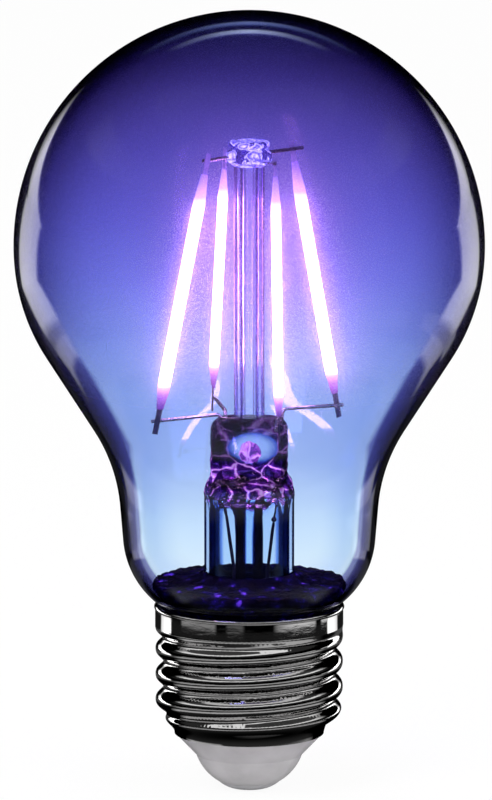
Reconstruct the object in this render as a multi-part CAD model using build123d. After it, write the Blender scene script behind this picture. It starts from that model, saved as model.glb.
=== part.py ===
from build123d import *
import math
import os

# LED filament bulb with an E27 screw cap, built piece by piece as it would come apart on a bench.
# Millimetres. Heights below are measured from the upper rim of the cap, and save() lifts every
# piece so that z = 0 is the flat end of the centre contact. +Z runs along the axis to the crown
# of the glass, and -Y is the side that faces the viewer.

os.makedirs("parts", exist_ok=True)

# Fits
SEAT_GAP = 0.05
TOUCH_GAP = 0.02

# How far a cutting shape reaches past what it cuts
OVERCUT = 1.0

# Screw cap
CAP_HEIGHT = 26.2
THREAD_PITCH = 3.62
THREAD_CREST_D = 26.3
THREAD_DEPTH = 1.1
THREAD_FULLNESS = 0.18
THREAD_TOP = -2.8
THREAD_FULL = -5.0
THREAD_FADE = -15.4
THREAD_MARGIN = 0.4
SHELL_TAPER_TOP = -14.2
SHELL_BOTTOM = -18.3
SHELL_BOTTOM_D = 21.0
SHEET = 0.28
COLLAR_D = 26.4
LIP_HEIGHT = 0.6
LIP_SWELL = 0.14
GROOVE_AT_LEFT = -8.05
SECTIONS_PER_HALF = 12
POINTS_PER_PITCH = 8

# Glass bulb, as tangent arcs from the crown down to the cap
GLASS_WALL = 0.7
CROWN_R = 32.875
CROWN_HEIGHT = 83.63
CROWN_END = -2.7
SHOULDER_R = 28.2
FLANK_LEAN = 32.6
NECK_CURVE_R = 24.09
NECK_R = 17.92
NECK_R_HEIGHT = 12.0
NECK_LEAN = 4.8
BASE_CURVE_R = 12.32
RIM_GLASS_R = 12.69
RIM_GLASS_HEIGHT = 0.2
SKIRT_R = 12.2
SKIRT_TOP = -0.4
SKIRT_LENGTH = 2.2

# Stem: flare tube, flange and pinched press
FLARE_R = 6.3
FLARE_WALL = 0.8
FLARE_SHOULDER = 15.9
TRUMPET_R = 2.3
FLANGE_TOP = 2.9
FLANGE_R = 13.1
FLANGE_WALL = 0.7
PRESS_BOTTOM = 19.1
PRESS_TOP = 26.9
PRESS_WIDTH = 10.8
PRESS_THICKNESS = 3.8
PRESS_CORNER_R = 1.9
PINCH_KNEE = 0.8
PINCH_HIP = 0.6
FLANGE_EDGE_END = -30
EXHAUST_HOLE_D = 2.4
EXHAUST_HOLE_HEIGHT = 22.3

# Exhaust tube and column
EXHAUST_TUBE_D = 3.9
EXHAUST_BORE_D = 2.3
EXHAUST_TIP = -0.6
COLUMN_D = 4.25
COLUMN_BORE_D = 2.3

# Glass crown on the column, round the two upper wires
TOP_WIRE_HEIGHT = 63.25
CROWN_BELOW_WIRES = 1.25
CROWN_ABOVE_WIRES = 1.25
CROWN_HEAD = 1.0
CROWN_D = 6.4
CROWN_CAP_D = 5.7
CROWN_BELT = 1.0
CROWN_EDGE = 0.35
CROWN_LOBES = 8
LOBE_CUT_R = 0.55

# Wires
WIRE_D = 0.5
SEAL_WIRE_D = 0.4
LEAD_D = 0.45
KNOT_D = 0.85
BEND_R = 0.9
LOW_RING_R = 13.5
TOP_RING_R = 6.35
LOW_WELD_HEIGHT = 27.3
TOP_WIRE_SPACING = 0.9
WIRE_RISE = 0.35
TIP_LENGTH = 0.7
SEAL_TOP = 22.3
SEAL_EXIT = 17.7
LEFT_FOOT_X = -3.85
RIGHT_FOOT_X = 4.55
LEFT_KNOT = Vector(-3.47, -0.4, 15.0)
RIGHT_KNOT = Vector(3.43, -0.4, 12.3)
LEFT_PASS = Vector(-2.05, -1.2, 4.8)
RIGHT_PASS = Vector(2.5, -1.0, 4.8)
LEAD_PAST = 0.3
LIVE_DEPTH = 2.0

# Light filaments: name, turn of the lower weld, turn of the upper weld (degrees from +X), how far
# each weld stands above or below its ring, and how far the upper wire runs on past its weld
FILAMENTS = [
    ("left", 196.6, 201.0, -0.45, -0.65, 0.6),
    ("front", 286.0, 301.0, 0.0, 0.35, 0.7),
    ("right", 22.0, 16.0, 0.3, 0.45, 1.5),
    ("back", 111.0, 119.0, 0.0, -0.1, 0.7),
]
STRIP_WIDTH = 1.75
STRIP_THICKNESS = 1.25
STRIP_END_WIDTH = 0.95
STRIP_END_THICKNESS = 0.5
STRIP_START = 1.7
STRIP_STOP = 1.9
LOW_TAPER = 2.6
TOP_TAPER = 4.0
TAB_WIDTH = 0.75
TAB_THICKNESS = 0.2
LOW_TAB_PAST = 1.8
TOP_TAB_PAST = 1.1

# Insulator and centre contact
PLUG_R = 9.9
PLUG_TOP = -16.4
INSULATOR_SHOULDER_R = 10.3
BAND_BOTTOM = -21.35
BAND_BOTTOM_R = 7.45
BOWL_MIDDLE_R = 6.1
BOWL_MIDDLE = -23.7
CONTACT_TOP = -25.15
CONTACT_R = 4.35
CONTACT_FLAT_R = 2.2
CONTACT_DOME = 0.1
CONTACT_SHANK_R = 0.95
CONTACT_SHANK_TOP = -19.0
SHANK_BORE_R = 0.3

# Cement that holds the glass in the cap
CEMENT_BOTTOM = -4.6
CEMENT_INNER_R = 9.9
CEMENT_THREAD_R = 11.6
CEMENT_LAYER = 1.05
CEMENT_EYE_R = 7.7
CEMENT_STEP = 1.0

# Dark cement over the flange, which shows through the glass as a rough disc
DISC_TOP = 3.5
DISC_RISE = 0.15
DISC_RIM_R = 13.4
DISC_RIM_HEIGHT = 3.15
DISC_CONTACT_HEIGHT = 2.35
DISC_FOOT_HEIGHT = 1.8

# Driver
SLEEVE_R = 10.3
SLEEVE_WALL = 0.8
LEDGE_WIDTH = 0.9
LEDGE_HEIGHT = 0.9
BOARD_R = 9.3
BOARD_THICKNESS = 1.0
BOARD_TOP = -8.0
LEAD_HOLE_X = 3.2
LEAD_HOLE_Y = -1.2
CAPACITOR_D = 5.0
CAPACITOR_LENGTH = 9.0
CAPACITOR_Y = 4.4
CAPACITOR_GROOVE = 1.2
CAPACITOR_EDGE = 0.35
BRIDGE_SIZE = (4.8, 3.9, 2.4)
BRIDGE_PLACE = (-2.9, -5.4)
CHIP_SIZE = (4.9, 3.9, 1.5)
CHIP_PLACE = (2.9, -5.4)
CHIP_BEVEL = 0.25
CHIP_PINS = 4
BRIDGE_PINS = 2
CHIP_PIN_WIDTH = 0.4
CHIP_PIN_REACH = 0.5
RESISTOR_D = 2.4
RESISTOR_LENGTH = 4.8
RESISTOR_WAIST_D = 2.04
RESISTOR_END_D = 1.68
RESISTOR_CAP = 1.05
RESISTOR_DROP = 0.9
NEUTRAL_X = 7.4
NEUTRAL_BEND_HEIGHT = -5.6
NEUTRAL_SLOT = 1.1
NEUTRAL_WALL_X = 11.4
NEUTRAL_END = -7.6


# Values that follow from the driving dimensions
crest_r = THREAD_CREST_D / 2
collar_r = COLLAR_D / 2
collar_inner_r = collar_r - SHEET
skirt_bottom = SKIRT_TOP - SKIRT_LENGTH
board_bottom = BOARD_TOP - BOARD_THICKNESS
crown_bottom = TOP_WIRE_HEIGHT - CROWN_BELOW_WIRES
crown_waist = TOP_WIRE_HEIGHT + CROWN_ABOVE_WIRES
crown_top = crown_waist + CROWN_HEAD
wire_r = WIRE_D / 2


def point(radius, height):
    return Vector(radius, 0, height)


def polar(centre, radius, degrees):
    turn = math.radians(degrees)
    return (centre[0] + radius * math.cos(turn), centre[1] + radius * math.sin(turn))


def around(degrees, radius, height):
    turn = math.radians(degrees)
    return Vector(radius * math.cos(turn), radius * math.sin(turn), height)


def run(*places):
    """Straight edges through the given (radius, height) places."""
    ends = [point(*place) for place in places]
    return [Edge.make_line(a, b) for a, b in zip(ends, ends[1:])]


def bow(start, middle, end):
    """One arc through three (radius, height) places."""
    return [Edge.make_three_point_arc(point(*start), point(*middle), point(*end))]


def arc(centre, radius, first, last):
    """One arc about a centre, from one direction to another in degrees."""
    middle = (first + last) / 2
    return bow(polar(centre, radius, first), polar(centre, radius, middle), polar(centre, radius, last))


def turned(edges):
    """The solid that a closed half outline sweeps round the axis."""
    return revolve(Face(Wire(edges)), Axis.Z, 360)


def bent_wire(places, diameter, bend):
    """A round wire along straight runs joined by tangent bends."""
    path = FilletPolyline(*places, radius=bend)
    start = Plane(origin=path @ 0, z_dir=path % 0)
    return sweep(start * Circle(diameter / 2), path=path)


def straight_wire(start, end, diameter):
    along = Plane(origin=start, z_dir=end - start)
    return extrude(along * Circle(diameter / 2), (end - start).length)


def save(name, piece):
    export_step(Pos(0, 0, CAP_HEIGHT) * piece, f"parts/{name}.step")


# Centres and meeting points of the glass outline
crown_centre = (0.0, CROWN_HEIGHT - CROWN_R)
shoulder_centre = polar(crown_centre, CROWN_R - SHOULDER_R, CROWN_END)
flank_normal = polar((0, 0), 1, -FLANK_LEAN)
neck_normal = polar((0, 0), 1, -NECK_LEAN)
flank_reach = (
    flank_normal[0] * shoulder_centre[0]
    + flank_normal[1] * shoulder_centre[1]
    + SHOULDER_R
    + NECK_CURVE_R
)
neck_reach = neck_normal[0] * NECK_R + neck_normal[1] * NECK_R_HEIGHT + NECK_CURVE_R
normals_cross = flank_normal[0] * neck_normal[1] - flank_normal[1] * neck_normal[0]
neck_centre = (
    (flank_reach * neck_normal[1] - neck_reach * flank_normal[1]) / normals_cross,
    (flank_normal[0] * neck_reach - neck_normal[0] * flank_reach) / normals_cross,
)


def base_curve_centre():
    """Centre of the arc that is tangent to the neck and passes the cap's rim."""
    along = (-neck_normal[1], neck_normal[0])
    start_r = NECK_R - BASE_CURVE_R * neck_normal[0] - RIM_GLASS_R
    start_z = NECK_R_HEIGHT - BASE_CURVE_R * neck_normal[1] - RIM_GLASS_HEIGHT
    half_b = along[0] * start_r + along[1] * start_z
    rest = start_r**2 + start_z**2 - BASE_CURVE_R**2
    slide = -half_b + math.sqrt(half_b**2 - rest)
    return (start_r + RIM_GLASS_R + slide * along[0], start_z + RIM_GLASS_HEIGHT + slide * along[1])


base_centre = base_curve_centre()
rim_direction = math.degrees(
    math.atan2(RIM_GLASS_HEIGHT - base_centre[1], RIM_GLASS_R - base_centre[0])
)


def glass_outline(inset):
    """The bulb's outline from the crown to the cap's rim, moved inwards by inset."""
    crown_r = CROWN_R - inset
    shoulder_r = SHOULDER_R - inset
    neck_r = NECK_CURVE_R + inset
    base_r = BASE_CURVE_R - inset
    flank_top = polar(shoulder_centre, shoulder_r, -FLANK_LEAN)
    flank_bottom = polar(neck_centre, neck_r, 180 - FLANK_LEAN)
    neck_top = polar(neck_centre, neck_r, 180 - NECK_LEAN)
    neck_bottom = polar(base_centre, base_r, -NECK_LEAN)
    return (
        arc(crown_centre, crown_r, 90, CROWN_END)
        + arc(shoulder_centre, shoulder_r, CROWN_END, -FLANK_LEAN)
        + run(flank_top, flank_bottom)
        + arc(neck_centre, neck_r, 180 - FLANK_LEAN, 180 - NECK_LEAN)
        + run(neck_top, neck_bottom)
        + arc(base_centre, base_r, -NECK_LEAN, rim_direction)
    )


def glass_envelope():
    """The blown bulb: an even wall that ends in a short skirt inside the cap."""
    inner_skirt_r = SKIRT_R - GLASS_WALL
    outer_rim = polar(base_centre, BASE_CURVE_R, rim_direction)
    inner_rim = polar(base_centre, BASE_CURVE_R - GLASS_WALL, rim_direction)
    skirt = run(
        outer_rim,
        (SKIRT_R, SKIRT_TOP),
        (SKIRT_R, skirt_bottom),
        (inner_skirt_r, skirt_bottom),
        (inner_skirt_r, SKIRT_TOP),
        inner_rim,
    )
    crown = run((0, CROWN_HEIGHT - GLASS_WALL), (0, CROWN_HEIGHT))
    return turned(glass_outline(0) + skirt + glass_outline(GLASS_WALL) + crown)


# The flange lies inside the skirt of the glass, and both end at the same height
flange_skirt_r = SKIRT_R - GLASS_WALL - 3 * SEAT_GAP
flange_edge = (FLANGE_R - FLANGE_WALL, FLANGE_TOP - FLANGE_WALL)
flange_under = FLANGE_TOP - FLARE_WALL
trumpet_centre = (FLARE_R + TRUMPET_R, FLANGE_TOP + TRUMPET_R)


def stem_flare(cutters):
    """Flare tube that opens into a flange below and is pinched flat round the wires above."""
    flare_inner_r = FLARE_R - FLARE_WALL
    half_width = PRESS_WIDTH / 2
    corner = (half_width - PRESS_CORNER_R, PRESS_TOP - PRESS_CORNER_R)
    inner_skirt_r = flange_skirt_r - FLANGE_WALL
    body = turned(
        run((0, PRESS_TOP), (corner[0], PRESS_TOP))
        + arc(corner, PRESS_CORNER_R, 90, 0)
        + run((half_width, corner[1]), (half_width, PRESS_BOTTOM), (FLARE_R, FLARE_SHOULDER))
        + run((FLARE_R, FLARE_SHOULDER), (FLARE_R, trumpet_centre[1]))
        + arc(trumpet_centre, TRUMPET_R, 180, 270)
        + run((trumpet_centre[0], FLANGE_TOP), (flange_edge[0], FLANGE_TOP))
        + arc(flange_edge, FLANGE_WALL, 90, FLANGE_EDGE_END)
        + run(
            polar(flange_edge, FLANGE_WALL, FLANGE_EDGE_END),
            (flange_skirt_r, SKIRT_TOP),
            (flange_skirt_r, skirt_bottom),
            (inner_skirt_r, skirt_bottom),
            (inner_skirt_r, SKIRT_TOP),
            (flange_edge[0], flange_under),
            (trumpet_centre[0], flange_under),
        )
        + arc(trumpet_centre, TRUMPET_R + FLARE_WALL, 270, 180)
        + run(
            (flare_inner_r, trumpet_centre[1]),
            (flare_inner_r, FLARE_SHOULDER),
            (half_width - FLARE_WALL, PRESS_BOTTOM - FLARE_WALL),
            (0, PRESS_BOTTOM - FLARE_WALL),
            (0, PRESS_TOP),
        )
    )
    body = body & pinch(PRESS_THICKNESS, FLANGE_R, 0)
    body = body + pressed_roof()
    hole = Pos(0, 0, EXHAUST_HOLE_HEIGHT) * Rot(90, 0, 0) * Cylinder(EXHAUST_HOLE_D / 2, PRESS_THICKNESS + OVERCUT)
    bore_length = EXHAUST_HOLE_HEIGHT - (PRESS_BOTTOM - FLARE_WALL) + FLARE_WALL
    bore = Pos(0, 0, EXHAUST_HOLE_HEIGHT - bore_length / 2) * Cylinder(EXHAUST_BORE_D / 2, bore_length)
    tube_length = PRESS_BOTTOM - FLARE_WALL - FLARE_SHOULDER
    tube_seat = Pos(0, 0, FLARE_SHOULDER + tube_length / 2) * Cylinder(EXHAUST_TUBE_D / 2, tube_length)
    body = body - hole - bore - tube_seat
    for cutter in cutters:
        body = body - cutter
    return body


def pinch(thickness, reach, inset):
    """The flattened block that the pincers leave, seen along X and drawn out across the stem."""
    half = thickness / 2
    top = PRESS_TOP + OVERCUT
    knee = PRESS_BOTTOM + PINCH_KNEE - inset
    hip = FLARE_SHOULDER - PINCH_HIP - inset
    bottom = skirt_bottom - OVERCUT
    side = reach + OVERCUT
    outline = Polyline(
        (half, top),
        (half, knee),
        (FLARE_R - inset, hip),
        (side, hip),
        (side, bottom),
        (-side, bottom),
        (-side, hip),
        (-FLARE_R + inset, hip),
        (-half, knee),
        (-half, top),
        close=True,
    )
    return extrude(Plane.YZ * make_face(outline), side, both=True)


def pressed_roof():
    """Glass that closes the flare tube where the pincers bring its walls together."""
    outer = turned(
        run(
            (0, PRESS_BOTTOM),
            (PRESS_WIDTH / 2, PRESS_BOTTOM),
            (FLARE_R, FLARE_SHOULDER),
            (FLARE_R, FLARE_SHOULDER - OVERCUT),
            (0, FLARE_SHOULDER - OVERCUT),
            (0, PRESS_BOTTOM),
        )
    )
    inner_r = FLARE_R - FLARE_WALL
    inner = turned(
        run(
            (0, PRESS_BOTTOM - FLARE_WALL),
            (PRESS_WIDTH / 2 - FLARE_WALL, PRESS_BOTTOM - FLARE_WALL),
            (inner_r, FLARE_SHOULDER),
            (inner_r, FLARE_SHOULDER - 2 * OVERCUT),
            (0, FLARE_SHOULDER - 2 * OVERCUT),
            (0, PRESS_BOTTOM - FLARE_WALL),
        )
    )
    outer = outer & pinch(PRESS_THICKNESS, FLANGE_R, 0)
    inner = inner & pinch(PRESS_THICKNESS - 2 * FLARE_WALL, FLANGE_R, FLARE_WALL)
    return outer - inner


def exhaust_tube():
    """Pump tube below the press, drawn off to a round closed tip inside the cap."""
    outer_r = EXHAUST_TUBE_D / 2
    inner_r = EXHAUST_BORE_D / 2
    wall = outer_r - inner_r
    top = PRESS_BOTTOM - FLARE_WALL
    tip_centre = (0, EXHAUST_TIP + outer_r)
    return turned(
        run((inner_r, top), (outer_r, top), (outer_r, tip_centre[1]))
        + arc(tip_centre, outer_r, 0, -90)
        + run((0, EXHAUST_TIP), (0, EXHAUST_TIP + wall))
        + arc(tip_centre, inner_r, -90, 0)
        + run((inner_r, tip_centre[1]), (inner_r, top))
    )


def stem_column():
    """Glass tube that carries the crown."""
    length = crown_bottom - PRESS_TOP
    tube = Cylinder(COLUMN_D / 2, length) - Cylinder(COLUMN_BORE_D / 2, length)
    return Pos(0, 0, PRESS_TOP + length / 2) * tube


def column_crown(cutters):
    """Glass button with a lobed skirt and a flat cap, melted round the two upper wires."""
    skirt_r = CROWN_D / 2
    cap_r = CROWN_CAP_D / 2
    edge = CROWN_EDGE
    middle = (crown_bottom + crown_waist) / 2
    body = turned(
        run(
            (0, crown_bottom),
            (COLUMN_D / 2, crown_bottom),
            (skirt_r, middle - CROWN_BELT / 2),
            (skirt_r, middle + CROWN_BELT / 2),
            (cap_r - edge, crown_waist),
            (cap_r, crown_waist + edge),
            (cap_r, crown_top - edge),
        )
        + arc((cap_r - edge, crown_top - edge), edge, 0, 90)
        + run((cap_r - edge, crown_top), (0, crown_top), (0, crown_bottom))
    )
    lobe_height = crown_waist - crown_bottom
    for number in range(CROWN_LOBES):
        turn = 360 * number / CROWN_LOBES
        groove = Cylinder(LOBE_CUT_R, lobe_height)
        body = body - Pos(around(turn, skirt_r, crown_bottom + lobe_height / 2)) * groove
    for cutter in cutters:
        body = body - cutter
    return body


# Places where the filaments are welded to their wires; the two upper wires cross one above the other
TOP_LIFT = {
    "left": TOP_WIRE_SPACING / 2,
    "right": TOP_WIRE_SPACING / 2,
    "front": -TOP_WIRE_SPACING / 2,
    "back": -TOP_WIRE_SPACING / 2,
}
OPPOSITE = {"left": "right", "right": "left", "front": "back", "back": "front"}
FOOT_X = {
    "left": LEFT_FOOT_X,
    "back": LEFT_FOOT_X + WIRE_D + TOUCH_GAP,
    "right": RIGHT_FOOT_X,
    "front": RIGHT_FOOT_X - WIRE_D - TOUCH_GAP,
}
low_weld = {}
low_bend = {}
top_weld = {}
top_reach = {}
for name, low_turn, top_turn, low_offset, top_offset, past in FILAMENTS:
    low_weld[name] = around(low_turn, LOW_RING_R, LOW_WELD_HEIGHT + low_offset)
    low_bend[name] = Vector(FOOT_X[name], 0, LOW_WELD_HEIGHT + low_offset + WIRE_RISE)
    top_weld[name] = around(top_turn, TOP_RING_R, TOP_WIRE_HEIGHT + TOP_LIFT[name] + top_offset)
    top_reach[name] = past


def support_wire(name):
    """Wire that stands in the press, bends over and reaches out past a lower weld."""
    direction = (low_weld[name] - low_bend[name]).normalized()
    foot = Vector(FOOT_X[name], 0, SEAL_TOP)
    return bent_wire([foot, low_bend[name], low_weld[name] + direction * TIP_LENGTH], WIRE_D, BEND_R)


def top_wire(first, second):
    """Straight wire through the crown that joins the upper ends of two opposite filaments."""
    direction = (top_weld[second] - top_weld[first]).normalized()
    start = top_weld[first] - direction * top_reach[first]
    return straight_wire(start, top_weld[second] + direction * top_reach[second], WIRE_D)


def seal_wire(foot_x, places):
    """Thin wire through the press that ends in a weld bead inside the flare tube."""
    top = Vector(foot_x, 0, SEAL_TOP - TOUCH_GAP)
    wire = bent_wire([top] + places, SEAL_WIRE_D, BEND_R)
    return wire + Pos(places[-1]) * Sphere(KNOT_D / 2)


def outer_lead(knot, places):
    """Copper lead from a weld bead down to its hole in the driver board."""
    start_dir = (places[0] - knot).normalized()
    start = knot + start_dir * (KNOT_D / 2 + TOUCH_GAP)
    return bent_wire([start] + places, LEAD_D, BEND_R)


def screw_shell():
    """Rolled thin sheet: lip, collar, round thread that fades at both ends, and closing taper."""
    mean_r = crest_r - THREAD_DEPTH / 2
    steps = math.ceil((THREAD_TOP - SHELL_BOTTOM) / THREAD_PITCH * POINTS_PER_PITCH)
    heights = [SHELL_BOTTOM + (THREAD_TOP - SHELL_BOTTOM) * i / steps for i in range(steps + 1)]
    parameters = [i / steps for i in range(steps + 1)]

    def ease(value, start, end):
        share = min(1, max(0, (value - start) / (end - start)))
        return share * share * (3 - 2 * share)

    def radius_at(height, turn):
        groove = GROOVE_AT_LEFT + THREAD_PITCH * (turn - 180) / 360
        phase = 2 * math.pi * (height - groove) / THREAD_PITCH
        fuller_crest = THREAD_FULLNESS * (math.cos(2 * phase) - 1)
        wave = (math.cos(phase) + fuller_crest) * THREAD_DEPTH / 2
        lower_fade = ease(height, SHELL_BOTTOM + THREAD_MARGIN, THREAD_FADE)
        narrowing = ease(height, SHELL_TAPER_TOP, SHELL_BOTTOM) * (mean_r - SHELL_BOTTOM_D / 2)
        rolled = mean_r - narrowing - wave * lower_fade
        return collar_r + (rolled - collar_r) * ease(height, THREAD_TOP, THREAD_FULL)

    def section(turn):
        outer = [around(turn, radius_at(height, turn), height) for height in heights]
        inner = [around(turn, radius_at(height, turn) - SHEET, height) for height in heights]
        lip_r = collar_r + LIP_SWELL
        lip_low = around(turn, collar_r, -LIP_HEIGHT)
        lip_middle = around(turn, lip_r, -LIP_HEIGHT / 2)
        lip_top = around(turn, collar_r, 0)
        inner_top = around(turn, collar_inner_r, 0)
        return Wire(
            [
                Edge.make_spline(outer, parameters=parameters),
                Edge.make_line(outer[-1], lip_low),
                Edge.make_three_point_arc(lip_low, lip_middle, lip_top),
                Edge.make_line(lip_top, inner_top),
                Edge.make_line(inner_top, inner[-1]),
                Edge.make_spline(inner, parameters=parameters),
                Edge.make_line(inner[0], outer[0]),
            ]
        )

    halves = []
    for start in (0, 180):
        turns = [start + 180 * i / SECTIONS_PER_HALF for i in range(SECTIONS_PER_HALF + 1)]
        halves.append(Solid.make_loft([section(turn) for turn in turns]))
    return halves[0].fuse(halves[1])


def insulator():
    """Moulded plug that closes the shell, with a cone band, a bowl and a bore for the contact."""
    bore_r = CONTACT_SHANK_R + TOUCH_GAP
    shoulder = SHELL_BOTTOM - SEAT_GAP
    return turned(
        run(
            (bore_r, PLUG_TOP),
            (PLUG_R, PLUG_TOP),
            (PLUG_R, shoulder),
            (INSULATOR_SHOULDER_R, shoulder),
            (BAND_BOTTOM_R, BAND_BOTTOM),
        )
        + bow((BAND_BOTTOM_R, BAND_BOTTOM), (BOWL_MIDDLE_R, BOWL_MIDDLE), (CONTACT_R, CONTACT_TOP))
        + run((CONTACT_R, CONTACT_TOP), (bore_r, CONTACT_TOP), (bore_r, PLUG_TOP))
    )


def centre_contact():
    """Rivet with a low domed head, a flat end and a shank through the insulator."""
    end = -CAP_HEIGHT
    middle_r = (CONTACT_R + CONTACT_FLAT_R) / 2 + 2 * CONTACT_DOME
    middle = (CONTACT_TOP + end) / 2 - CONTACT_DOME
    top = CONTACT_TOP - TOUCH_GAP
    return turned(
        run((0, end), (CONTACT_FLAT_R, end))
        + bow((CONTACT_FLAT_R, end), (middle_r, middle), (CONTACT_R, top))
        + run(
            (CONTACT_R, top),
            (CONTACT_SHANK_R, top),
            (CONTACT_SHANK_R, CONTACT_SHANK_TOP),
            (SHANK_BORE_R, CONTACT_SHANK_TOP),
            (SHANK_BORE_R, top),
            (0, top),
            (0, end),
        )
    )


def base_cement():
    """Ring of dark cement between glass and shell, with a layer that fills the flange from below."""
    layer_top = flange_under - SEAT_GAP
    inner_skirt_r = flange_skirt_r - FLANGE_WALL - SEAT_GAP
    glass_end = skirt_bottom - SEAT_GAP
    outer_skirt_r = SKIRT_R + SEAT_GAP
    seat_r = collar_inner_r - SEAT_GAP
    ring_top = -2 * SEAT_GAP
    return turned(
        run(
            (CEMENT_EYE_R, layer_top),
            (flange_edge[0] - 2 * SEAT_GAP, layer_top),
            (inner_skirt_r, SKIRT_TOP),
            (inner_skirt_r, glass_end),
            (outer_skirt_r, glass_end),
            (outer_skirt_r, SKIRT_TOP),
            (outer_skirt_r + SHEET, ring_top),
            (seat_r, ring_top),
            (seat_r, THREAD_TOP),
            (CEMENT_THREAD_R, THREAD_TOP - CEMENT_STEP),
            (CEMENT_THREAD_R, CEMENT_BOTTOM),
            (CEMENT_INNER_R, CEMENT_BOTTOM),
            (CEMENT_INNER_R, layer_top - 2 * CEMENT_LAYER),
            (CEMENT_EYE_R, layer_top - CEMENT_LAYER),
            (CEMENT_EYE_R, layer_top),
        )
    )


def neck_cement():
    """Dark cement that covers the flange and its edge, from the flare tube to the glass."""
    tube_r = TRUMPET_R - SEAT_GAP
    glass_r = BASE_CURVE_R - GLASS_WALL - SEAT_GAP
    edge_r = FLANGE_WALL + SEAT_GAP
    tube_turn = 180 + math.degrees(math.asin((trumpet_centre[1] - DISC_TOP) / tube_r))
    contact_turn = math.degrees(math.asin((DISC_CONTACT_HEIGHT - base_centre[1]) / glass_r))
    foot_turn = math.degrees(math.asin((DISC_FOOT_HEIGHT - base_centre[1]) / glass_r))
    tube_edge = polar(trumpet_centre, tube_r, tube_turn)
    rim = (DISC_RIM_R, DISC_RIM_HEIGHT)
    middle = ((tube_edge[0] + DISC_RIM_R) / 2, (DISC_TOP + DISC_RIM_HEIGHT) / 2 + DISC_RISE)
    return turned(
        arc(trumpet_centre, tube_r, 270, tube_turn)
        + bow(tube_edge, middle, rim)
        + run(rim, polar(base_centre, glass_r, contact_turn))
        + arc(base_centre, glass_r, contact_turn, foot_turn)
        + run(polar(base_centre, glass_r, foot_turn), polar(flange_edge, edge_r, 0))
        + arc(flange_edge, edge_r, 0, 90)
        + run(polar(flange_edge, edge_r, 90), polar(trumpet_centre, tube_r, 270))
    )


def driver_sleeve():
    """Insulating sleeve on the plug, with a ledge for the board and a slot for the neutral wire."""
    inner_r = SLEEVE_R - SLEEVE_WALL
    top = CEMENT_BOTTOM - SEAT_GAP
    bottom = PLUG_TOP + SEAT_GAP
    ledge_top = board_bottom - SEAT_GAP
    sleeve = turned(
        run(
            (SLEEVE_R, bottom),
            (SLEEVE_R, top),
            (inner_r, top),
            (inner_r, ledge_top),
            (inner_r - LEDGE_WIDTH, ledge_top),
            (inner_r - LEDGE_WIDTH, ledge_top - LEDGE_HEIGHT),
            (inner_r, ledge_top - LEDGE_HEIGHT - LEDGE_WIDTH),
            (inner_r, bottom),
            (SLEEVE_R, bottom),
        )
    )
    slot_bottom = NEUTRAL_BEND_HEIGHT - NEUTRAL_SLOT / 2
    slot_height = top - slot_bottom
    slot = Pos(SLEEVE_R, 0, top - slot_height / 2) * Box(4 * SLEEVE_WALL, NEUTRAL_SLOT, slot_height)
    return sleeve - slot


def driver_board(cutters):
    """Round circuit board with holes for the wires."""
    board = Pos(0, 0, BOARD_TOP - BOARD_THICKNESS / 2) * Cylinder(BOARD_R, BOARD_THICKNESS)
    for cutter in cutters:
        board = board - cutter
    return board


def smoothing_capacitor():
    """Capacitor can that lies on the board, with a rolled groove near its rubber end."""
    radius = CAPACITOR_D / 2
    half = CAPACITOR_LENGTH / 2
    edge = CAPACITOR_EDGE
    groove_at = -half + CAPACITOR_GROOVE
    can = turned(
        run((0, -half), (radius - edge, -half))
        + arc((radius - edge, -half + edge), edge, -90, 0)
        + run((radius, -half + edge), (radius, groove_at - edge))
        + bow((radius, groove_at - edge), (radius - edge, groove_at), (radius, groove_at + edge))
        + run((radius, groove_at + edge), (radius, half - edge))
        + arc((radius - edge, half - edge), edge, 0, 90)
        + run((radius - edge, half), (0, half), (0, -half))
    )
    return Pos(0, CAPACITOR_Y, BOARD_TOP + TOUCH_GAP + radius) * Rot(0, 90, 0) * can


def moulded_block(size, place):
    """Moulded component body with a bevelled top, seated on the board."""
    width, depth, height = size
    body = Box(width, depth, height, align=(Align.CENTER, Align.CENTER, Align.MIN))
    body = chamfer(body.edges().group_by(Axis.Z)[-1], CHIP_BEVEL)
    return Pos(place[0], place[1], BOARD_TOP + TOUCH_GAP) * body


def with_pins(body, size, place, count):
    """Adds gull pins, flush with the foot of the body, along both long sides."""
    width, depth, height = size
    step = width / count
    pin_height = height / 3
    for number in range(count):
        x = place[0] - width / 2 + step * (number + 0.5)
        pin = Box(CHIP_PIN_WIDTH, depth + 2 * CHIP_PIN_REACH, pin_height)
        body = body + Pos(x, place[1], BOARD_TOP + TOUCH_GAP + pin_height / 2) * pin
    return body


def fuse_resistor():
    """Axial resistor under the board: swollen end caps and a lead up into the board."""
    radius = RESISTOR_D / 2
    top = board_bottom - RESISTOR_DROP
    bottom = top - RESISTOR_LENGTH
    waist = RESISTOR_WAIST_D / 2
    end_r = RESISTOR_END_D / 2
    cap = RESISTOR_CAP
    lead_r = LEAD_D / 2
    lead_top = BOARD_TOP + LEAD_PAST
    return turned(
        run((0, lead_top), (lead_r, lead_top), (lead_r, top), (end_r, top))
        + bow((end_r, top), (radius, top - cap / 2), (waist, top - cap))
        + run((waist, top - cap), (waist, bottom + cap))
        + bow((waist, bottom + cap), (radius, bottom + cap / 2), (end_r, bottom))
        + run((end_r, bottom), (0, bottom), (0, lead_top))
    ), bottom


def tab_frame(weld, wire_start, along):
    """Frame of a tab that lies flat against the side of its wire, Z along the filament."""
    wire_direction = (weld - wire_start).normalized()
    normal = along.cross(wire_direction).normalized()
    aside = wire_r + TAB_THICKNESS / 2 + TOUCH_GAP
    return Plane(origin=weld + normal * aside, x_dir=normal.cross(along), z_dir=along)


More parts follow.
